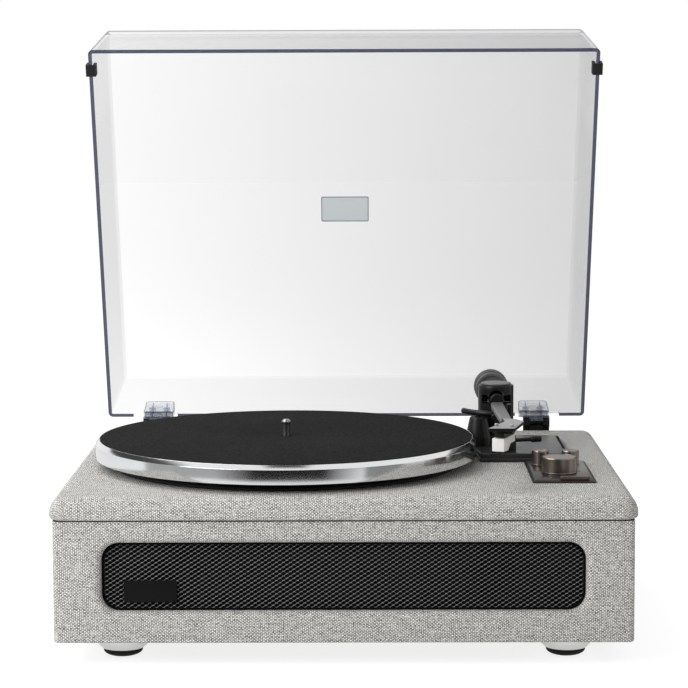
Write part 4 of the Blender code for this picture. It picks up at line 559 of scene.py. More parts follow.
board = {"width": 424.0, "depth": 340.0, "thick": 16.8, "corner": 12.0, "topRound": 10.0, "topDrop": 13.4,
         "lowRound": 2.6, "lowSteps": 5, "topSteps": 14, "outwardRow": 14}


def boxLoop(halfX, halfY, radius, frontPoints=2, cornerSteps=8):
    # a rounded rectangle from the middle of its rear, counter-clockwise, with a chosen count along its front;
    # gives the loop and the first and last place of the front run
    turn = quarter(cornerSteps)
    x, y = halfX - radius, halfY - radius

    def bend(centreX, centreY, first):
        return np.stack([centreX + radius * np.cos(first + turn), centreY + radius * np.sin(first + turn)], 1)

    parts = [np.array([[0.0, halfY]])]
    corners = ((-x, y, math.pi / 2), (-x, -y, math.pi), (x, -y, 1.5 * math.pi), (x, y, 0))
    stops = [*(bend(*corner) for corner in corners), parts[0]]
    for stop, count in zip(stops, (2, 2, frontPoints, 2, 2)):
        start, share = parts[-1][-1], np.linspace(0, 1, count + 1)[1:-1, None]
        parts += [start + (stop[0] - start) * share, stop]
    counts = np.cumsum([len(part) for part in parts])
    return np.concatenate(parts[:-1]), counts[4] - 1, counts[5]


def makeBoard():
    # rows: the low round, the side and the top's quarter ellipse, deeper than it is wide; the cloth's u and
    # v come from unfolding the edge: a point is its place on the flat top's edge plus its way down the side
    size = board
    halfX, halfY, low, top = size["width"] / 2, size["depth"] / 2, size["lowRound"], size["topRound"]
    a, b = quarter(size["lowSteps"]), quarter(size["topSteps"])
    depth = np.r_[low * (1 - np.sin(a)), top * (1 - np.cos(b))]
    height = np.r_[-size["thick"] + low * (1 - np.cos(a)), -size["topDrop"] * (1 - np.sin(b))]
    loops = [boxLoop(halfX - d, halfY - d, size["corner"] - d, 2, 12)[0] for d in depth]
    flat = loops[-1]
    outward = loops[size["outwardRow"]] - flat
    outward = outward / np.maximum(np.linalg.norm(outward, axis=1, keepdims=True), 1e-9)
    along = lengthAlong(np.c_[depth, height])
    away = (along[-1] - along)[:, None, None]
    grid = np.stack([lifted(loop, z) for loop, z in zip(loops, height)])
    skin = surface(grid, wrapped(flat[None] + outward[None] * away), True)
    makePiece("clothTop", joined(skin, cap(grid[-1], flat), cap(grid[0], loops[0])), linen, "cabinet",
              ["top_board"], 50)


makeBoard()
print("cloth top made")


# Cloth-wrapped body with the front opening, and a dark band in the seam above it that paints the seam's shadow
# line

shell = {"width": 418.6, "depth": 334.6, "low": 18.0, "high": 106.7, "corner": 4.0, "innerCorner": 0.5,
         "lowRound": 1.5, "wall": 12.0, "frontPoints": 206, "rows": 44}
opening = {"width": 349.0, "height": 50.0, "corner": 13.0, "roll": 5.0, "middle": 65.8, "rollSteps": 10,
           "hidden": 20}
seamShadow = {"setback": 0.9, "wide": 6.0, "corner": 3.0, "low": 106.5, "high": 107.8}


def makeBody():
    # a loop carried down the outside, under the wall and up its inside; the front run is left out and filled
    # by a patch whose rings slide from the wall's edge to the opening and then roll in on a quarter circle
    size = shell
    wall, lowRound, low, front = size["wall"], size["lowRound"], size["low"], -size["depth"] / 2

    def ringOf(pull, corner):
        return boxLoop(size["width"] / 2 - pull, size["depth"] / 2 - pull, corner, size["frontPoints"], 6)

    outer, first, last = ringOf(0, size["corner"])
    inner, pulled = ringOf(wall, size["innerCorner"])[0], ringOf(lowRound, size["corner"] - lowRound)[0]
    levels = np.linspace(size["high"], low + lowRound, size["rows"])
    rings = [(outer, z) for z in levels]
    rings += [(outer + (pulled - outer) * (1 - math.cos(t)), low + lowRound * (1 - math.sin(t)))
              for t in quarter(4)[1:]]
    outsideRows = len(rings)
    rings += [(inner, low)] + [(inner, z) for z in levels[::-1]] + [(outer, size["high"])]
    grid = np.stack([lifted(loop, z + floorLevel) for loop, z in rings])
    around = lengthAlong(np.r_[outer, outer[:1]])
    around -= (around[first] + around[last]) / 2
    points, faces, corners = surface(grid, np.stack(np.meshgrid(around, -lengthAlong(grid[:, 0])), -1), True)
    row, column = np.divmod(np.arange(len(faces[0])), len(outer))
    cut = (row < size["rows"] - 1) | (row > outsideRows) & (row < len(rings) - 2)
    keep = ~(cut & (column >= first) & (column < last))
    skin = (points, [faces[0][keep]], [corners[0].reshape(-1, 4, 2)[keep].reshape(-1, 2)])

    def edgeLoop(topRow, lowRow):
        way = 1 if lowRow > topRow else -1
        rows = np.arange(topRow, lowRow + way, way)
        return np.concatenate([grid[topRow, first:last + 1], grid[rows[1:], last],
                               grid[lowRow, first:last][::-1], grid[rows[1:-1], first][::-1]])

    edge, middle = edgeLoop(0, size["rows"] - 1), opening["middle"] + floorLevel
    half = np.array([opening["width"], opening["height"]]) / 2 - opening["corner"]
    roll = opening["roll"]

    def rolled(growth, y):
        spot = edge[:, [0, 2]] - [0, middle]
        core = np.clip(spot, -half, half)
        away = spot - core
        away /= np.linalg.norm(away, axis=1, keepdims=True)
        return upright(core + away * (opening["corner"] + growth) + [0, middle], y), away

    mouth, away = rolled(roll, front)
    rows = [edge, edge + (mouth - edge) * 0.5, mouth]
    unfolded = [row[:, [0, 2]] for row in rows]
    for t in quarter(opening["rollSteps"])[1:]:
        rows.append(rolled(roll * (1 - math.sin(t)), front + roll * (1 - math.cos(t)))[0])
        unfolded.append(mouth[:, [0, 2]] - away * roll * t)
    rows += [rolled(0, front + wall)[0], edgeLoop(len(rings) - 2, outsideRows + 1)]
    unfolded.append(unfolded[-1] - away * (wall - roll))
    unfolded.append(unfolded[-1] + away * opening["hidden"])
    uv = wrapped(np.stack(unfolded) - [0, size["high"] + floorLevel])
    part = joined(skin, surface(np.stack(rows), uv, True))
    makePiece("clothBody", part, linen, "cabinet", ["cabinet_shell"], 50)


def makeSeamShadow():
    # a flat dark frame set back from the body's outline, in the gap under the top board: a painted shadow line
    outer, inner = (boxLoop(shell["width"] / 2 - d, shell["depth"] / 2 - d, seamShadow["corner"])[0]
                    for d in (seamShadow["setback"], seamShadow["setback"] + seamShadow["wide"]))
    part = placed(band(outer, inner, seamShadow["low"], seamShadow["high"]), (0, 0, floorLevel))
    makePiece("seamShadowBand", part, boardAndShadow, "cabinet")


makeBody()
makeSeamShadow()
print("cloth body made")


# Expanded-metal grille and the bare plate on it

grille = {"pitchX": 5.1, "pitchZ": 3.3, "strand": 0.48, "tilt": 0.16, "thick": 0.4, "setback": 6.0,
          "fit": 0.3, "overlap": 0.9, "edge": 0.6, "frame": 1.6, "frameRound": 0.3, "frameBack": 1.1,
          "frameAhead": 0.45}
badge = {"halfX": 19.2, "halfZ": 7.95, "corner": 1.6, "thick": 1.1, "x": -139.3, "z": -69.5}


def makeGrille():
    # every hole has its own ring of faces, from the middle of its strands to the hole's edge; the strand
    # below a hole leans back there and the strand above leans forward, as in slit and drawn sheet
    size = grille
    px, pz = size["pitchX"] / 2, size["pitchZ"] / 2
    share = 1 - size["strand"] / 2 / (px * pz / math.hypot(px, pz))
    halfX, halfZ = opening["width"] / 2 - size["fit"], opening["height"] / 2 - size["fit"]
    corner = opening["corner"] - size["fit"]
    columns, rows = int(halfX / px) + 2, int(halfZ / pz) + 2
    i, j = np.meshgrid(np.arange(-columns, columns + 1), np.arange(-rows, rows + 1))
    centre = np.stack([i * px, j * pz], -1)[(i + j) % 2 == 0].astype(float)

    def beyond(spot, inward):
        core = np.clip(spot, [corner - halfX, corner - halfZ], [halfX - corner, halfZ - corner])
        away = spot - core
        length = np.linalg.norm(away, axis=-1, keepdims=True)
        return core, away / np.maximum(length, 1e-9), length - (corner - inward)

    centre = centre[(beyond(centre, size["frame"])[2] < size["overlap"])[:, 0]]
    outer = np.array([(1, 0), (.5, .5), (0, 1), (-.5, .5), (-1, 0), (-.5, -.5), (0, -1), (.5, -.5)])
    outer = outer * [px, pz]
    lean, thick = np.array([0, -1, -1, -1, 0, 1, 1, 1]) * size["tilt"], size["thick"]
    shape = np.stack([np.c_[outer, 0 * lean], np.c_[outer * share, lean], np.c_[outer * share, lean + thick],
                      np.c_[outer, 0 * lean + thick]])
    points = centre[:, None, None, :] + shape[None, :, :, :2]
    core, away, over = beyond(points, size["edge"])
    points = np.where(over > 0, core + away * (corner - size["edge"]), points)
    depth = np.broadcast_to(shape[None, :, :, 2], points.shape[:3])
    cloud = np.stack([points[..., 0], depth, points[..., 1]], -1)
    step = np.arange(8)
    ahead = (step + 1) % 8
    ringFaces = np.concatenate([np.stack([step, ahead, ahead + 8, step + 8], 1) + 8 * k for k in range(3)])
    faces = (ringFaces[None] + 32 * np.arange(len(centre))[:, None, None]).reshape(-1, 4)
    # the u and v marks carry the finish's painted highlight: strands that climb to the right are painted
    # lighter, and the bonds get painted glints
    leaning = np.array([0, 0, 1, 1, 0, 0, 1, 1])  # 1 on the strands that climb to the right
    bond = np.array([1, 0, 0.35, 0, 1, 0, 0.35, 0])
    marks = np.stack([np.stack([leaning, bond[(step + n) % 8]], -1) for n in (0, 1, 1, 0)], 1)
    uv = np.tile(marks[None, None], (len(centre), 3, 1, 1, 1)).reshape(-1, 2)
    frame, bent, back = size["frame"], size["frameRound"], size["frameBack"]
    rim = [roundedBox(halfX - d, halfZ - d, corner - d, 12) for d in (0, bent, frame - bent, frame)]
    rows = ((0, bent), (1, 0), (2, 0), (3, bent), (3, back), (0, back), (0, bent))
    border = placed(loft([upright(rim[k], y) for k, y in rows], False), (0, -size["frameAhead"], 0))
    y = -shell["depth"] / 2 + size["setback"] + 0.5
    part = joined((cloud.reshape(-1, 3), [faces], [uv]), border)
    # the frame takes the near-black hollow finish, darker than the mesh: partly its own black, partly painted
    # shadow along the opening's edge
    makePiece("meshGrille", placed(part, (0, y, opening["middle"] + floorLevel)), [grilleBlack, darkHollow],
              "cabinet", ["speaker_grille"], 30, np.arange(countFaces(part)) >= len(faces))
    outline = roundedBox(badge["halfX"], badge["halfZ"], badge["corner"])
    plate = placed(prism(outline, 0, badge["thick"], 0.35), (badge["x"], y - 0.6, badge["z"]), alongY)
    makePiece("barePlate", plate, badgeBlack, "cabinet")


makeGrille()
print("grille made")


# Platter, mat and spindle

platter = {"seat": 19.9, "rim": 21.1, "radius": 148.3, "chamferLow": 17.8, "under": 6.8, "lip": 145.1,
           "bore": 3.9, "wall": 3.7, "web": 3.0, "matRadius": 144.8, "matThick": 1.2, "fit": 0.3,
           "steps": 240}
spindle = {"section": [(0, 34.4), (2.2, 34.2), (3.6, 32.8), (3.6, 31.2), (3.1, 30.5), (3.1, 20.9),
                       (3.6, 20.5), (3.6, 4.7), (8.5, 4.7), (8.5, 3.5), (3.6, 3.5), (3.6, -20.6), (0, -20.6)],
           "rounds": [0, 1.5, 1.1, 0.4, 0.3, 0.4, 0.3, 0, 0.2, 0.2, 0, 0.4, 0]}
tray = {"section": [(9.3, 0.3), (135, 0.3), (135, 1.8), (134.4, 3.0), (132.6, 3.0), (132, 1.8), (9.3, 1.8)],
        "rounds": [0, 0.1, 0.2, 0.3, 0.3, 0.3, 0]}


def makePlatter():
    # turned sections round the spindle's axis
    size, centre = platter, jointPlace("platter_spin") * [1, 1, 0]
    r, seat, lip, bore, under = (size[key] for key in ("radius", "seat", "lip", "bore", "under"))
    polished = brushedAround("platterPolish", tone(228, 229, 230), 0.13, centre, 1.0, 2.4, 0.05, 0.93)
    disc = turned([(bore, seat), (lip, seat), (lip, size["rim"]), (lip + 0.7, size["rim"]),
                   (r, size["chamferLow"]), (r, under + 0.2), (r - 0.8, under), (r - size["wall"], under),
                   (r - size["wall"], seat - size["web"]), (bore, seat - size["web"])],
                  [0, 0.1, 0.2, 0.2, 0.35, 0.3, 0.3, 0.2, 0.4, 0], size["steps"], centre, arc=4)
    makePiece("platterDisc", disc, polished, "platter", ["platter"])
    low, outer = seat + size["fit"], size["matRadius"]
    top = low + size["matThick"]
    felted = turned([(bore, low), (bore, top), (outer, top), (outer, low)], [0, 0.2, 0.55, 0.2],
                    size["steps"], centre, arc=5)
    mat = makePiece("feltMat", felted, felt, "platter", ["slip_mat"])
    2 * outer * mm
    2 * outer * mm
    math.pi * (outer ** 2 - size["bore"] ** 2) * mm * mm
    spindleSteel = brushedAround("spindleSteelTurned", tone(150), 0.26, centre, 1.0, 3.0, 0.05, 0.95)
    post = turned(spindle["section"], spindle["rounds"], 64, centre, arc=5, closed=False)
    makePiece("spindlePost", post, spindleSteel, "platter", ["spindle"])
    makePiece("blackTray", turned(tray["section"], tray["rounds"], 180, centre), blackPlastic, "cabinet",
              ["platter_tray"])


makePlatter()
print("platter made")


# Feet

foot = {"x": 163.0, "y": 127.0, "top": 20.7, "low": 14.8, "ringLow": 5.8, "ringHigh": 17.7, "pad": 14.5,
        "padHigh": 5.5, "dome": 5.0, "flare": 2.6}


def makeFeet():
    # the ring's radius grows from low to top as 1 - (1 - h) to the power of its flare; the pad is a flat dome
    x, y, top, low, ringLow, ringHigh, pad, padHigh, rise, flare = foot.values()
    h, t = np.linspace(0, 1, 22), np.linspace(0, 1, 20) * math.pi / 2
    side = np.c_[low + (top - low) * (1 - (1 - h) ** flare), ringLow + (ringHigh - ringLow) * h]
    section = np.r_[[(0, ringLow), (low - 0.3, ringLow)], side[1:-1],
                    [(top, ringHigh - 0.3), (top - 0.3, ringHigh), (0, ringHigh)]]
    dome = np.c_[pad * np.sin(t) ** 0.85, rise * (1 - np.cos(t) ** 0.9)]
    padSection = np.r_[dome, [(pad, padHigh - 0.4), (pad - 0.4, padHigh), (0, padHigh)]]
    corners = {"front_left": (-1, -1), "front_right": (1, -1), "rear_left": (-1, 1), "rear_right": (1, 1)}
    for name, (wayX, wayY) in corners.items():
        spot = (wayX * x, wayY * y, floorLevel)
        silver = brushedAround("footSilver_" + name, tone(250), 0.26, spot, 1.0, 2.6, 0.03, 0.97)
        makePiece("footRing_" + name, placed(lathe(section, 96), spot), silver, "cabinet",
                  ["foot_ring_" + name])
        makePiece("footPad_" + name, placed(lathe(padSection, 96), spot), rubber, "cabinet",
                  ["foot_pad_" + name])


makeFeet()
print("feet made")


# Tonearm base, column and bearing housing

pivot = jointPlace("arm_swing") * [1, 1, 0]
spindleSpot = jointPlace("platter_spin")[:2]
armBase = {"right": 178.6, "left": 93.5, "front": -12.0, "rear": 94.0, "clear": 151.3, "large": 8.0,
           "small": 3.0, "flange": 3.0, "height": 6.5, "step": 3.2, "slotWidth": 1.9, "slotLength": 68.0,
           "slotInset": 2.0, "slotMiddle": 50.0}
ear = {"x": 131.2, "rears": (7.1, 14.9), "low": 6.0, "middle": 13.8, "half": 3.8, "thick": 2.0}


def baseOutline(depth):
    # an arc about the spindle on the left and front, then three rounded corners
    size = armBase
    left, right = size["left"] + depth, size["right"] - depth
    front, rear = size["front"] + depth, size["rear"] - depth
    radius = size["clear"] + depth / 4
    turn = np.linspace(math.asin((front - spindleSpot[1]) / radius),
                       math.acos((left - spindleSpot[0]) / radius), 26)
    near = spindleSpot + radius * np.c_[np.cos(turn), np.sin(turn)][1:-1]
    small, large = size["small"], size["large"] - depth / 2
    corners = eased([near[-1], (left, rear), (right, rear), (right, front), (near[0][0], front)],
                    [0, small, large, small, 0.5], 8)
    return anticlockwise(np.r_[near, corners[1:]])


def makeArmBase():
    # a flange, the plate on it and two ears, and a thin dark strip laid on the plate near its right edge
    size, half, turn = armBase, ear["half"], np.linspace(0, math.pi, 17)
    flange = prism(baseOutline(0), 0.3, size["flange"], 0.5)
    plate = prism(baseOutline(size["step"]), size["flange"] - 0.4, size["height"], 0.7, 0, 4)
    outline = np.r_[[(-half, ear["low"]), (half, ear["low"])],
                    np.c_[half * np.cos(turn), ear["middle"] + half * np.sin(turn)]]
    lug = prism(outline, -ear["thick"], 0, 0.3, 0.3)
    ears = [placed(lug, (ear["x"], y, 0), alongY) for y in ear["rears"]]
    makePiece("armBase", joined(flange, plate, *ears), baseBlack, "cabinet", ["tonearm_base"])
    # a near-black strip 0.12 mm thick on the plate's top, its middle 2 mm in from the raised plate's right
    # edge
    darkStrip = roundedBox(size["slotWidth"] / 2, size["slotLength"] / 2, size["slotWidth"] * 0.45, 5)
    spot = (size["right"] - size["step"] - size["slotInset"], size["slotMiddle"], size["height"])
    makePiece("baseDarkStrip", placed(prism(darkStrip, 0, 0.12), spot), darkHollow, "cabinet")


makeArmBase()

column = {"foot": 16.5, "neck": 13.0, "top": 19.7, "bore": 4.5, "low": 6.8}
housing = {"radius": 14.3, "low": 20.0, "top": 52.3, "bevel": 1.2, "bore": 7.4, "slotHalf": 11.6,
           "slotRise": 3.4, "middle": 41.4, "capRadius": 12.2, "capThick": 1.2, "cup": 3.2, "cupFrom": 6.8,
           "lowRound": 0.6, "stem": 4.0, "stemLength": 10, "half": 36}


def makeColumn():
    # the foot's hollow curve is a quarter circle as wide as foot and neck differ
    base, neck, top, bore, low = column.values()
    t, flare = quarter(11), base - neck
    curve = np.c_[base - flare * np.cos(t), low + flare * (2 - np.sin(t))]
    section = np.r_[[(bore, top), (neck - 0.5, top), (neck, top - 0.5)], curve,
                    [(base, low), (bore, low), (bore, top)]]
    makePiece("armColumn", placed(lathe(section, 96), pivot), armBlack, "cabinet",
              ["arm_column"])


def makeHousing():
    # below and above the window the section is a whole circle; beside it there are two segments of the
    # circle, cut off by a chord at half the window's width at that height
    size, half = housing, housing["half"]
    r, low, top, bevel, bore = (size[key] for key in ("radius", "low", "top", "bevel", "bore"))
    middle = size["middle"]
    around = np.arange(2 * half) * fullTurn / (2 * half) - math.pi / 2

    def circle(pull, z):
        return lifted((r - pull) * np.c_[np.cos(around), np.sin(around)], z)

    lowRound, rise = size["lowRound"], size["slotRise"]
    under = [circle(lowRound, low), circle(0, low + lowRound), circle(0, middle - bore)]
    over = [circle(0, middle + bore), circle(0, top - bevel), circle(bevel * 0.3, top - bevel * 0.3),
            circle(bevel, top)]
    bend = np.linspace(math.asin(rise / bore), math.pi / 2, 10)
    curve = [(bore * math.sin(t), bore * math.cos(t)) for t in bend]
    heights = [(-z, width) for z, width in curve[::-1]]
    heights += [(z, size["slotHalf"]) for z in (-rise, rise)] + curve
    posts = []
    for side in (1, -1):
        rows = []
        for z, width in heights:
            turn = np.linspace(-1, 1, half + 1) * math.acos(width / r)
            rows.append(lifted(r * np.c_[side * np.cos(turn), np.sin(turn)], middle + z))
        posts.append(surface(np.array(rows), None, True))
    part = joined(loft(under, False), loft(over, False), *posts, cap(under[0]), cap(over[-1]))
    stem = prism(ring(size["stem"], 32), low - size["stemLength"], low)
    # two cups inside seat the ends of the tilt pin
    cup = prism(ring(size["cup"], 32), size["cupFrom"], size["slotHalf"] - 0.2, 0.2, 0.4)
    cups = [placed(cup, (0, 0, middle), turn @ alongX) for turn in (np.eye(3), turnAbout("z", 180))]
    makePiece("bearingHousing", placed(joined(part, stem, *cups), pivot), armBlack, "arm_bearing",
              ["bearing_housing"], 32, None, 0.25)
    low, reach = top + 0.3, size["capRadius"]
    high = low + size["capThick"]
    disc = turned([(0, low), (reach, low), (reach, high), (0, high)], [0, 0.15, 0.4, 0], 96, pivot, arc=4,
                  closed=False)
    makePiece("housingCap", disc, armGrey, "arm_bearing", ["housing_cap"])


makeColumn()
makeHousing()
print("tonearm base and housing made")


# Arm: hub, wand, headshell, cartridge, weight

armLevel = pivot + [0, 0, housing["middle"]]
hub = {"section": [(0, 18), (4.4, 18), (5.4, 17.6), (5.4, 14.6), (4.5, 13.9), (4.5, 12.2), (5.4, 11.5),
                   (5.4, 7.6), (6.2, 7), (6.2, -7), (4.4, -10), (4.4, -18.7), (3, -18.7), (3, -81.5),
                   (2.5, -82), (0, -82)],
       "rounds": [0, 0.4, 0.5, 0.4, 0.2, 0.2, 0.4, 0.2, 0.3, 0.6, 0.3, 0.3, 0.1, 0.2, 0.2, 0]}
wand = {"from": 17.2, "to": 143.0, "widthStart": 10.4, "highStart": 5.6, "drop": 4.2, "widthEnd": 9.0,
        "highEnd": 5.0, "rise": 0.1}
# the headshell's outline, each corner as shares of its width and length
head = {"width": 19.7, "length": 52.5, "from": 143.3, "low": 0.7, "high": 2.9,
        "shares": [(-0.16, 0), (-0.14, 0.29), (-0.85, 0.97), (-0.80, 0.99), (0.10, 1.0), (0.15, 0.98),
                   (0.61, 0.29), (0.58, 0.22), (0.30, 0)]}


def makeArm():
    # hub: turned round the arm's own line; wand: a soft-cornered section that tapers along that line
    part = turned(hub["section"], hub["rounds"], 64, armLevel, alongY, closed=False)
    makePiece("armHub", part, armBlack, "arm", ["arm_hub"])
    start, end, wideStart, highStart, drop, wideEnd, highEnd, rise = wand.values()
    rings = []
    for s in np.linspace(0, 1, 30):
        x, z = (wideStart + (wideEnd - wideStart) * s) / 2, (highStart + (highEnd - highStart) * s) / 2
        swell = min(1.0, 0.62 + s * 9)
        outline = eased([(-x * swell, -z), (x * swell, -z), (x, z * 0.3), (x - 1.1, z), (1.1 - x, z),
                         (-x, z * 0.3)], [1.2, 1.2, 0.5, 0.35, 0.35, 0.5], 3)
        rings.append(upright(outline + [0, -drop + (drop + rise) * s], -(start + (end - start) * s)))
    makePiece("armWand", placed(loft(rings), armLevel), armGrey, "arm", ["arm_wand"], 28)
    outline = anticlockwise(np.array(head["shares"]) * [head["width"], -head["length"]])
    plate = prism(eased(outline, 0.6, 4), head["low"], head["high"], 0.35, 0.2)
    last = countFaces(plate) - 1
    makePiece("headshellPlate", placed(plate, armLevel - [0, head["from"], 0]), [headGrey, armBlack], "arm",
              ["headshell"], 30, np.arange(last + 1) < last)


makeArm()

# each outline's corners as shares of the cartridge's length and height
cartridge = {"width": 9.2, "carrierWidth": 7.6, "guardWidth": 4.6, "length": 26.0, "height": 15.6, "yaw": 22.0,
             "left": 9.2, "ahead": 190,
             "body": [(0, .02), (.40, 0), (.44, .09), (.60, .29), (.985, .31), (.985, .66), (.42, .66),
                      (.40, .64), (0, .63)],
             "carrier": [(.10, .66), (.985, .66), (.985, .99), (.10, .99)],
             "guard": [(.05, .03), (.30, .03), (.30, -.06), (.12, -.06)]}
earPlate = {"half": (7.8, 3.2), "corner": 1.2, "x": 1.6, "below": (2.8, 0.1)}
clip = {"radius": 0.55, "x": (-2.4, 2.4), "z": (7.6, 10.2), "from": -0.6, "to": 3.4}
needle = {"path": [(0, 6.2, 0.4), (0, 5.4, -0.6), (0, 3.2, -2.0)], "radii": [1.2, 0.9, 0.25]}
stud = {"section": [(0, 3.4), (1.5, 3.4), (1.5, 1.6), (1.0, 1.6), (1.0, -1.6), (0, -1.6)], "y": 8.2,
        "rounds": [0, .4, .1, .1, .1, 0]}


def makeCartridge():
    # pale body: a side outline carried across; a black carrier with ears sits on it; all turned by the yaw
    size = cartridge
    length, height = size["length"], size["height"]
    spot = pivot + [-size["left"], -size["ahead"], housing["middle"] + 0.4 - height]

    def across(outline, width, corner, edge):
        outline = eased(anticlockwise(np.array(size[outline]) * [length, height]), corner, 3)
        return placed(prism(outline, -width / 2, width / 2, edge, edge), (0, 0, 0), alongX)

    def fitted(*parts):
        return placed(joined(*parts), spot, turnAbout("z", -size["yaw"]))

    makePiece("cartridgeBody", fitted(across("body", size["width"], 0.35, 0.35)), paleShell, "arm",
              ["cartridge"], 30)
    low, high = (height - below for below in earPlate["below"])
    ears = prism(roundedBox(*earPlate["half"], earPlate["corner"]), low, high, 0.3, 0.3)
    ears = placed(ears, (earPlate["x"], stud["y"], 0))
    clips = [tube([(x, length + clip[end], z) for end in ("from", "to")], clip["radius"], 12)
             for x in clip["x"] for z in clip["z"]]
    carrier = across("carrier", size["carrierWidth"], 0.4, 0.3)
    makePiece("cartridgeCarrier", fitted(carrier, ears, *clips), armBlack, "arm")
    studs = [turned(stud["section"], stud["rounds"], 32, (x, stud["y"], height + 0.8), closed=False)
             for x in (-4.0, 8.0)]
    makePiece("headScrews", fitted(*studs), screwSteel, "arm")
    tip = tube(needle["path"], needle["radii"], 16, (1, 0, 0))
    guard = across("guard", size["guardWidth"], 0.3, 0.2)
    makePiece("stylusTip", fitted(tip, guard), blackPlastic, "arm", ["stylus"])


makeCartridge()

weight = {"radius": 14.2, "from": 59.8, "to": 77.8, "dialRadius": 13.8, "dialFrom": 56.0, "dialTo": 59.5,
          "bore": 5.8, "ripple": 0.006, "ripples": 60}


def makeWeight():
    # turned round the arm's line behind the pivot; the dial's knurl is a fine ripple in radius round it
    r, start, end, dialR, dialStart, dialEnd, bore, ripple, ripples = weight.values()
    behind = np.array([[1, 0, 0], [0, 0, 1], [0, -1, 0]], float)
    part = turned([(bore, start), (13.2, start), (r, start + 1), (r, 66.5), (13.7, 67.0), (13.7, 68.2),
                   (r, 68.7), (r, end - 1), (13.2, end), (bore, end)], [0, .3, .5, .2, .2, .2, .2, .5, .3, 0],
                  96, armLevel, behind)
    makePiece("counterWeight", part, armBlack, "weight", ["counterweight"])
    points, faces, corners = turned([(bore, dialStart + 1.4), (10.4, dialStart + 1.4), (10.8, dialStart),
                                     (13.0, dialStart), (dialR, dialStart + 0.8), (dialR, dialEnd),
                                     (bore, dialEnd)], [0, .2, .2, .3, .4, .2, 0], 240)
    radius, turn = np.hypot(points[:, 0], points[:, 1]), np.arctan2(points[:, 1], points[:, 0])
    share = 1 - ripple * (1 + np.sin(turn * ripples)) * (radius > 13.3)
    points = points * np.c_[share, share, np.ones(len(points))]
    makePiece("forceDial", placed((points, faces, corners), armLevel, behind), armGrey, "weight",
              ["force_dial"])


makeWeight()
print("arm made")


# Lift, cue lever, control plate and knobs

lift = {"radius": 28, "angle": 33, "from": -3, "to": 74, "bar": 2.4, "steps": 40, "piston": 2.0,
        "pistonLength": 16.5,
        "section": [(2.4, 29.2), (6.0, 29.2), (6.9, 28.4), (7.4, 26.4), (8.9, 19.4), (10.2, 12.5),
                    (10.6, 6.8), (2.4, 6.8)],
        "rounds": [0, .3, .5, 1, 3, 3, 0, 0]}
lever = {"barrel": 3.4, "barrelHalf": 2.6, "pin": 1.4, "pinHalf": 4.0, "rise": 3,
         "reach": [1.7, 8, 15.6, 16.2, 17.0, 18.4, 18.7, 19.1, 19.4, 20.6, 20.9, 21.3, 21.6, 23.4, 24.0,
                   24.2],
         "radii": [1.6, 1.5, 1.6, 2.2, 2.5, 2.5, 2.2, 2.2, 2.5, 2.5, 2.2, 2.2, 2.5, 2.4, 1.9, 1.2]}


def makeLift():
    # the bar runs on a circle about the arm's pivot: x = -r sin t, y = -r cos t, thinner at both ends
    size, order = lift, np.arange(lift["steps"])

    def about(degrees, height):
        t = np.radians(degrees)
        return pivot + np.stack([-size["radius"] * np.sin(t), -size["radius"] * np.cos(t), height + 0 * t],
                                -1)

    part = turned(size["section"], size["rounds"], 72, about(size["angle"], 0), arc=6)
    makePiece("liftHousing", part, armBlack, "cabinet", ["lift_housing"])
    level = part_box("lift_bar")[1].z / mm - deck[2] - size["bar"]
    ease = np.sqrt(np.clip(np.minimum(order, order[::-1]) / 2.0 + 0.12, 0, 1))
    bar = tube(about(np.linspace(size["from"], size["to"], len(order)), level), size["bar"] * ease, 20)
    piston = placed(prism(ring(size["piston"], 32), -size["pistonLength"], 0), about(size["angle"], level))
    makePiece("liftBar", joined(bar, piston), armBlack, "lift", ["lift_bar"])
    spot, reach = jointPlace("cue_lever_turn"), np.array(lever["reach"])
    barrel = prism(ring(lever["barrel"], 48), -lever["barrelHalf"], lever["barrelHalf"], 0.4, 0.4)
    pins = prism(ring(lever["pin"], 24), -lever["pinHalf"], lever["pinHalf"], 0.1, 0.1)
    rod = tube(np.c_[reach, 0 * reach, reach * math.tan(math.radians(lever["rise"]))] + spot, lever["radii"],
               24)
    makePiece("cueLever", joined(placed(joined(barrel, pins), spot, alongY), rod), armBlack, "lever",
              ["cue_lever"])


makeLift()

controls = {"left": 139.7, "right": 187.0, "front": -110.5, "rear": -14.5, "low": 0.3, "high": 2.2,
            "bevel": 1.3, "rim": 2.2}
# each knob's radius, height and steps round
knobs = {"volume": (13.3, 11.8, 128), "mode": (6.6, 11.2, 80), "tone": (6.6, 11.2, 80)}
slide = {"spot": (171.1, -106.3, 2.5), "high": 2.3, "half": (10.9, 2.0), "corner": 1.0, "stem": (2.5, 0.8)}
marks = {"dots": (150.3, 154.0), "dot": 0.75, "y": -98.2, "radius": 16.5, "line": 0.2, "starts": (150, -5),
         "sweep": 32}


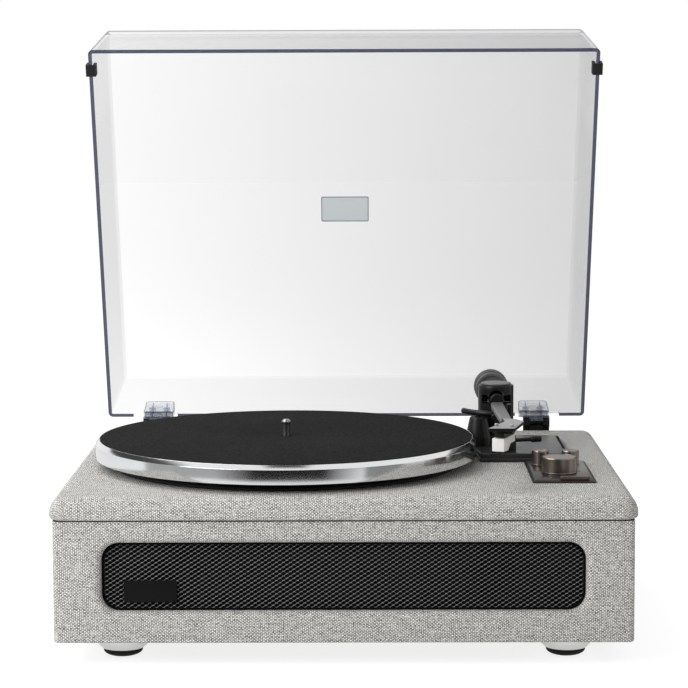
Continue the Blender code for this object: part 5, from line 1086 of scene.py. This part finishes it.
def makeControls():
    # a bevelled plate, three turned knobs, a bar on a stem, and small bare marks
    left, right, front, rear, low, high, bevel, rim = controls.values()
    halfX, halfY = (right - left) / 2, (rear - front) / 2
    outer, topEdge = roundedBox(halfX, halfY, 2.0), roundedBox(halfX - rim, halfY - rim, 1.0)
    part = loft([lifted(outer, low), lifted(outer, high - bevel), lifted(topEdge, high)])
    makePiece("controlPlate", placed(part, ((left + right) / 2, (front + rear) / 2, 0)), [bronze, bronzeEdge],
              "cabinet", ["control_plate"], 30, np.arange(countFaces(part)) < 2 * len(outer))
    low = slide["spot"][2]
    for name, (radius, height, steps) in knobs.items():
        spot, top = jointPlace(name + "_turn") * [1, 1, 0], low + height
        part = turned([(0, top - 0.25), (radius - 1.7, top - 0.25), (radius - 1.4, top), (radius - 0.8, top),
                       (radius, top - 0.8), (radius, low + 0.7), (radius + 0.3, low + 0.4),
                       (radius + 0.3, low), (3.0, low), (3.0, low - 10), (0, low - 10)],
                      [0, .1, .1, .3, .3, .2, .2, .1, .1, .1, 0], steps, spot, arc=4, closed=False)
        finish = brushedAround(name + "KnobBronze", tone(130, 120, 113), 0.30, spot, 1.0, 0.9, 0.05, 0.96)
        makePiece(name + "Knob", part, finish, name, [name + "_knob"])
    bar = prism(roundedBox(*slide["half"], slide["corner"]), 0, slide["high"], 0.6, 0.15, 4)
    stem = prism(roundedBox(*slide["stem"], 0.2), -4, 0.5)
    makePiece("slideBar", placed(joined(bar, stem), slide["spot"]), bronzeBar, "slide",
              ["slide_switch"], 30)
    dot = prism(ring(marks["dot"], 20), 0, 0.12, 0.05)
    parts = [placed(dot, (x, marks["y"], high)) for x in marks["dots"]]
    around = jointPlace("volume_turn") * [1, 1, 0] + [0, 0, high + 0.02]
    for first in marks["starts"]:  # two faint scale marks beside the large knob
        turn = np.radians(np.linspace(first, first + marks["sweep"], 16))
        parts.append(tube(around + marks["radius"] * np.c_[np.cos(turn), np.sin(turn), 0 * turn],
                          marks["line"], 8))
    makePiece("plateMarks", joined(*parts), moulded("paleMark", tone(128), 0.5), "cabinet")


makeControls()
print("controls made")


# Lid

lid = {"width": 406.6, "depth": 330.0, "height": 71.0, "gap": 1.2, "rear": 164.0, "sideDraft": 7.3,
       "frontDraft": 7.3, "rearDraft": 1.8, "round": 4.0, "wall": 3.0, "notchWidth": 37.6, "notchRise": 4.2,
       "notchX": 163.0, "notchStep": 0.02, "open": 69.8}
label = {"halfX": 19.8, "halfY": 11.15, "corner": 1.0, "thick": 0.15, "x": -0.5, "y": 0.5, "border": 0.3}
hinge = jointPlace("lid_hinge") * [0, 1, 1]


def openLid(part):
    # from the closed place to the rest place: turned back about the hinge line
    return placed(placed(part, -hinge), hinge, turnAbout("x", -lid["open"]))


def makeLid():
    # rows up the outside, over the top round, and down the inside; the rim's height is raised in the notches
    size = lid
    half, step, rear = size["notchWidth"] / 2, size["notchStep"], size["rear"]
    depth, height = size["depth"], size["height"]
    marks = size["notchX"] + np.array([-half - step, -half, half, half + step])

    def row(share, pull, corner, z, rim=False):
        # the lid's outline at a share of its height, drawn in by its drafts and by a pull all round
        back = rear - size["rearDraft"] * share - pull
        front = rear - depth + size["frontDraft"] * share + pull
        loop = boxLoop(size["width"] / 2 - size["sideDraft"] * share - pull, (back - front) / 2, corner)[0]
        loop = loop + [0, (back + front) / 2]
        extra = np.stack([-marks, np.full(4, back)], 1)
        start = 1 + int(np.argmax(loop[1:, 0] < -marks[-1]))
        loop = np.concatenate([loop[:1], extra, loop[start:len(loop) - start + 1], extra[::-1] * [-1, 1]])
        inNotch = (np.abs(np.abs(loop[:, 0]) - size["notchX"]) < half + step / 2) & (loop[:, 1] > 0)
        return np.c_[loop, z + size["notchRise"] * (inNotch if rim else 0 * inNotch)]

    low, high, wall, bend = size["gap"], size["gap"] + height, size["wall"], size["round"]

    def topRow(t, pull, radius, least):
        drop = pull + radius * (1 - math.sin(t))
        corner = max(radius * math.cos(t), least)
        return row(1 - drop / height, pull + radius * (1 - math.cos(t)), corner, high - drop)

    outer = [row(0, 0, bend, low, True), row(0.14, 0, bend, low + 10)]
    outer = np.stack(outer + [topRow(t, 0, bend, 0.25) for t in quarter(7)])
    inner = [topRow(t, wall, bend - wall, 0.12) for t in quarter(7)[::-1]]
    inner = np.stack(inner + [row(0.14, wall, bend - wall, low + 10), row(0, wall, bend - wall, low, True)])
    rim = surface(np.stack([inner[-1], outer[0]]), None, True)
    part = joined(surface(outer, None, True), surface(inner, None, True), cap(outer[-1]), cap(inner[0]), rim)
    finishOf = np.zeros(countFaces(part), int)
    # the lower edge takes the dark edge finish, a painted reflection
    finishOf[-countFaces(rim):] = outer[0, :, 2] <= low + 1
    # a darker bend of painted reflection: the start of the front wall's top round, and the outer part of the
    # two front corners
    wallRow = outer[1]
    middle = (wallRow + np.roll(wallRow, -1, 0)) / 2
    nearFront = middle[:, 1] < wallRow[:, 1].min() + bend
    nearSide = np.abs(middle[:, 0]) > np.abs(wallRow[:, 0]).max() - 0.15 * bend
    darker = np.zeros((len(outer) - 1, len(wallRow)), bool)
    darker[2:6, nearFront] = True
    darker[:, nearFront & nearSide] = True
    finishOf[:darker.size][darker.ravel()] = 2
    makePiece("dustCover", openLid(part), [clearSheet, clearEdge, clearBend], "lid",
              ["dust_cover"], 30, finishOf)
    halfX, halfY, corner, thick, x, y, border = label.values()
    spot = np.array([x, y, high - wall - thick - 0.01])
    film = prism(roundedBox(halfX, halfY, corner), 0, thick)
    makePiece("bareLabel", openLid(placed(film, spot)), labelFilm, "lid")
    outside = roundedBox(halfX + border, halfY + border, corner + 0.2)
    inside = roundedBox(halfX - 0.5, halfY - 0.5, corner - 0.3)
    edge = placed(band(outside, inside, 0, 0.2), spot - [0, 0, 0.05])
    makePiece("labelBorder", openLid(edge), labelEdge, "lid")


pocket = {"x": 160.2, "front": 159.2, "rear": 165.6, "low": 1.2, "height": 20.0, "width": 26.4,
          "topShare": 0.92, "wall": 1.6, "pillarX": 6.1, "pillar": 1.0, "cross": 9.2, "band": 1.8}
leaf = {"x": 163.0, "half": 5.4, "thick": 2.0, "low": 2.1, "reach": 15.0, "rear": 163.6, "knuckle": 4.2,
        "pin": 1.6, "end": 9.1, "front": 2.1}
# the web of a hinge base below the knuckle: an arc round the hinge line, its turns counted from the rear
saddle = {"first": 262, "last": 340, "over": 4.5, "under": 5.7, "half": 5.6}


def makeHinges():
    # the clear pocket: a rounded frame with two pillars, short cross bars and a band at its rim
    high, half, deep = pocket["height"], pocket["width"] / 2, pocket["rear"] - pocket["front"]
    top, rim = half * pocket["topShare"], pocket["band"] / 2
    outline = eased([(-half, 0), (half, 0), (top, high), (-top, high)], [0.8, 0.8, 3.0, 3.0], 6)
    skin = prism(outline, 0, deep, 0.9)
    frameFaces = len(skin[1][0])
    wall = inset(outline, pocket["wall"])
    inner = loft([lifted(wall, z) for z in (0.4, deep - pocket["wall"])], False)
    pillar = prism(roundedBox(pocket["pillar"] / 2, high * 0.42, 0.3), 0.6, deep - 0.5)
    dash = prism(roundedBox(3.0, 0.35, 0.2), 1.0, deep - 0.8)
    bars = [placed(bar, (x, y, 0)) for bar, y in ((pillar, high * 0.46), (dash, pocket["cross"]))
            for x in (-pocket["pillarX"], pocket["pillarX"])]
    strip = placed(prism(roundedBox(half - 1.0, rim, 0.4), 0.5, deep - 0.6), (0, rim, 0))
    shell = joined(skin, inner, *bars, strip)
    # the pillars, bars and band take the rib finish and the frame's rounded rim the line finish: painted
    # reflection of the clear plastic's edges
    shellFinish = np.full(countFaces(shell), 1)
    shellFinish[:countFaces(skin) + countFaces(inner)] = 0
    shellFinish[len(outline):frameFaces] = 2
    # the tongue: a black knuckle turned round the hinge line, with an L-shaped clear leaf
    x, wide, thick, low, reach, rear, knuckle, pin, end, front = leaf.values()
    side = [(0, end), (pin, end), (pin, wide), (knuckle, wide), (knuckle, 1.2), (knuckle - 0.4, 0.8)]
    rounds = [0, .2, 0, .5, .2, .2]
    barrel = turned(side + [(r, -z) for r, z in side[::-1]], rounds + rounds[::-1], 40, (0, 0, 0), alongX,
                    closed=False)
    front = hinge[1] - front
    high = low + reach
    corners = [(rear - thick, low), (rear - thick, high), (rear, high), (rear, low + thick),
               (front, low + thick), (front, low)]
    bent = anticlockwise(eased(corners, [0.8, 0.4, 0.4, 0.3, 0.1, 0.1], 3))
    blade = placed(prism(bent, -wide, wide, 0.3, 0.3), (0, 0, 0), alongX)
    tongue = joined(placed(barrel, hinge), blade)
    tongueFinish = np.arange(countFaces(tongue)) >= countFaces(barrel)
    turn = np.radians(np.linspace(saddle["first"], saddle["last"], 12))
    arc = np.c_[np.cos(turn), np.sin(turn)]
    section = np.concatenate([arc * saddle["under"], arc[::-1] * saddle["over"]])
    web = placed(prism(section, -saddle["half"], saddle["half"]), hinge, alongX)
    for name, way in (("left", -1), ("right", 1)):
        clear = placed(shell, (way * pocket["x"], pocket["rear"], pocket["low"]), alongY)
        makePiece("lidPocket_" + name, openLid(clear), [clearPocket, clearRib, clearLine], "lid",
                  ["hinge_pocket_" + name], 30, shellFinish)
        makePiece("hingeTongue_" + name, openLid(placed(tongue, (way * x, 0, 0))),
                  [blackPlastic, clearPocket], "lid", ["hinge_tongue_" + name], 35,
                  tongueFinish)
        makePiece("hingeSaddle_" + name, placed(web, (way * x, 0, 0)), blackPlastic, "cabinet")


makeLid()
makeHinges()
print("lid made")


# Finishes of the kept parts

kept = {"bottom_panel": boardAndShadow, "speaker_baffle": darkHollow, "speaker_left": darkHollow,
        "speaker_right": darkHollow, "jack_panel": blackPlastic, "phono_jacks": steel,
        "power_inlet": blackPlastic, "power_rocker": blackPlastic, "motor": steel, "motor_pulley": brass,
        "drive_belt": rubber, "spindle_bearing": brass, "sub_platter": blackPlastic, "tilt_pin": brass,
        "weight_bush": blackPlastic, "arm_rest": armBlack, "amplifier_board": circuit,
        "hinge_base_left": blackPlastic, "hinge_base_right": blackPlastic, "bumper_left": rubber,
        "bumper_right": rubber}
for name, finish in kept.items():
    node = frame["nodes"][name]
    node.data.materials.clear()
    node.data.materials.append(finish)
print("kept parts finished")


# Floor, light and camera

# each lamp's place and aim in metres, its width and its power
lamps = {"keyLamp": ((-1.2, -1.05, 0.98), (0, 0, 0.1), 1.0, 21.6),
         "topLamp": ((-0.8, 0.5, 1.9), (-0.1, 0, 0.1), 1.2, 19.6)}
studio = {"floor": tone(236), "world": 0.56, "viewedFloor": 1.35,
          "mirrorFloor": 0.85, "floorShare": 0.62, "glossShare": 0.6, "floorHalf": 9}


def stageMesh(name, points, faces):
    # a mesh of the stage with an emptied finish; gives the object and the finish's nodes
    mesh = bpy.data.meshes.new(name)
    mesh.from_pydata(points, [], faces)
    material = bpy.data.materials.new(name)
    mesh.materials.append(material)
    return linked(name, mesh), emptyTree(material)


def rays(nodes):
    # 1 for rays from the camera, and 1 for those from mirrors and clear sheets
    path = nodes.add("ShaderNodeLightPath")
    return path["Is Camera Ray"], path["Is Glossy Ray"].maths("MAXIMUM", path["Is Transmission Ray"])


def makeFloor():
    # camera rays see mostly a bright white and a share of the lit floor, which keeps the shadow; mirror and
    # clear rays see more of the lit floor
    half = studio["floorHalf"]
    floor, nodes = stageMesh("floor", [(-half, -half, 0), (half, -half, 0), (half, half, 0),
                                       (-half, half, 0)], [(0, 1, 2, 3)])
    viewed, mirrored = rays(nodes)
    lit = nodes.add("ShaderNodeBsdfDiffuse", None, {"Color": studio["floor"]})
    strength = viewed * (studio["viewedFloor"] - studio["mirrorFloor"]) + studio["mirrorFloor"]
    glow = nodes.add("ShaderNodeEmission", None, {"Strength": strength})
    nodes.end(viewed * studio["floorShare"] + mirrored * studio["glossShare"], lit, glow)


def makeWorld():
    # an even grey light, seen as white by camera, mirror and clear rays
    world = bpy.data.worlds.new("studio")
    bpy.context.scene.world = world
    nodes = emptyTree(world)
    light, seen = (nodes.add("ShaderNodeBackground", None, {"Color": (1, 1, 1), "Strength": strength})
                   for strength in (studio["world"], 1.0))
    viewed, mirrored = rays(nodes)
    nodes.end(viewed.maths("MAXIMUM", mirrored), light, seen, "ShaderNodeOutputWorld")


# dark cards round the stage that only metal and gloss reflect: bearings in degrees from straight ahead,
# counted to the right, the card's grey, how much of its width fades out at each side and its distance
cards = {"front": (-36, 42, 0.02, 0.27, 0.62), "left": (-82, -14, 0.45, 0.04, 0.66),
         "right": (42, 68, 0.28, 0.1, 0.62), "side": (84, 100, 0.36, 0.1, 0.62),
         "farRight": (114, 152, 0.05, 0.2, 0.62)}
cardStand = {"low": 0.001, "high": 0.42, "steps": 24}
# sheets overhead: their left, near, right and far edges in metres, and their grey
overhead = {"middle": (-0.30, -0.8, 0.26, 0.9, 0.05), "left": (-3.2, -0.4, -1.15, 3.0, 0.06)}
overheadHeight, overheadFade = 1.5, 0.2


def addCard(name, points, grey, fade):
    # a sheet of points in two rows whose ends fade to clear; nothing but mirror rays sees it
    part = surface(points, np.stack(np.meshgrid(np.linspace(0, 1, points.shape[1]), [0, 1]), -1))
    card, nodes = stageMesh(name, part[0].tolist(), part[1][0].tolist())
    card.data.uv_layers.new(name="UVMap").data.foreach_set("uv", part[2][0].astype(np.float32).ravel())
    along = nodes.split(nodes.place((1, 1, 1), "UV"))[0]
    dull = nodes.add("ShaderNodeEmission", None, {"Color": (grey, grey, grey), "Strength": 1.0})
    nodes.end(nodes.ramp(along, 0.0, fade) * nodes.ramp(1 - along, 0.0, fade),
              nodes.add("ShaderNodeBsdfTransparent"), dull)
    for kind in ("camera", "diffuse", "transmission", "volume_scatter", "shadow"):
        setattr(card, "visible_" + kind, False)


def makeCards():
    # standing cards lie on a circle round the platter: x = d sin b, y = -d cos b
    middle = (jointPlace("platter_spin") + deck) * mm
    for name, (first, last, grey, fade, distance) in cards.items():
        bearing = np.radians(np.linspace(first, last, cardStand["steps"]))
        row = middle[:2] + distance * np.c_[np.sin(bearing), -np.cos(bearing)]
        points = np.stack([lifted(row, cardStand[edge]) for edge in ("low", "high")])
        addCard(name + "Card", points, grey, fade)
    for name, (left, near, right, far, grey) in overhead.items():
        points = np.array([[(left, near), (right, near)], [(left, far), (right, far)]])
        addCard(name + "Roof", np.concatenate([points, np.full((2, 2, 1), overheadHeight)], -1), grey,
                overheadFade)


makeFloor()
makeWorld()
makeCards()


def areaLight(name, spot, aim, size, power):
    light = bpy.data.lights.new(name, "AREA")
    light.shape, light.size, light.energy = "SQUARE", size, power
    lamp = linked(name, light)
    lamp.location = spot
    lamp.rotation_mode = "QUATERNION"
    lamp.rotation_quaternion = (Vector(aim) - Vector(spot)).to_track_quat("-Z", "Y")


for name, values in lamps.items():
    areaLight(name, *values)

view = {"place": (0.013742, -1.841373, 0.41206), "yaw": -0.0078, "pitch": 0.1075, "roll": -0.0035,
        "lens": 121.95, "film": 36}
camera = bpy.data.cameras.new("camera")
camera.sensor_width, camera.lens = view["film"], view["lens"]
eye = linked("camera", camera)
yaw, pitch, roll = view["yaw"], view["pitch"], view["roll"]
ahead = Vector((math.sin(yaw) * math.cos(pitch), math.cos(yaw) * math.cos(pitch), -math.sin(pitch)))
right = Vector((math.cos(yaw), -math.sin(yaw), 0))
above = right.cross(ahead)
c, s = math.cos(roll), math.sin(roll)
facing = Matrix((c * right + s * above, c * above - s * right, -ahead)).transposed()
eye.matrix_world = Matrix.Translation(view["place"]) @ facing.to_4x4()
bpy.context.scene.camera = eye
bpy.context.scene.view_settings.view_transform = "Standard"
print("stage, light and camera made")
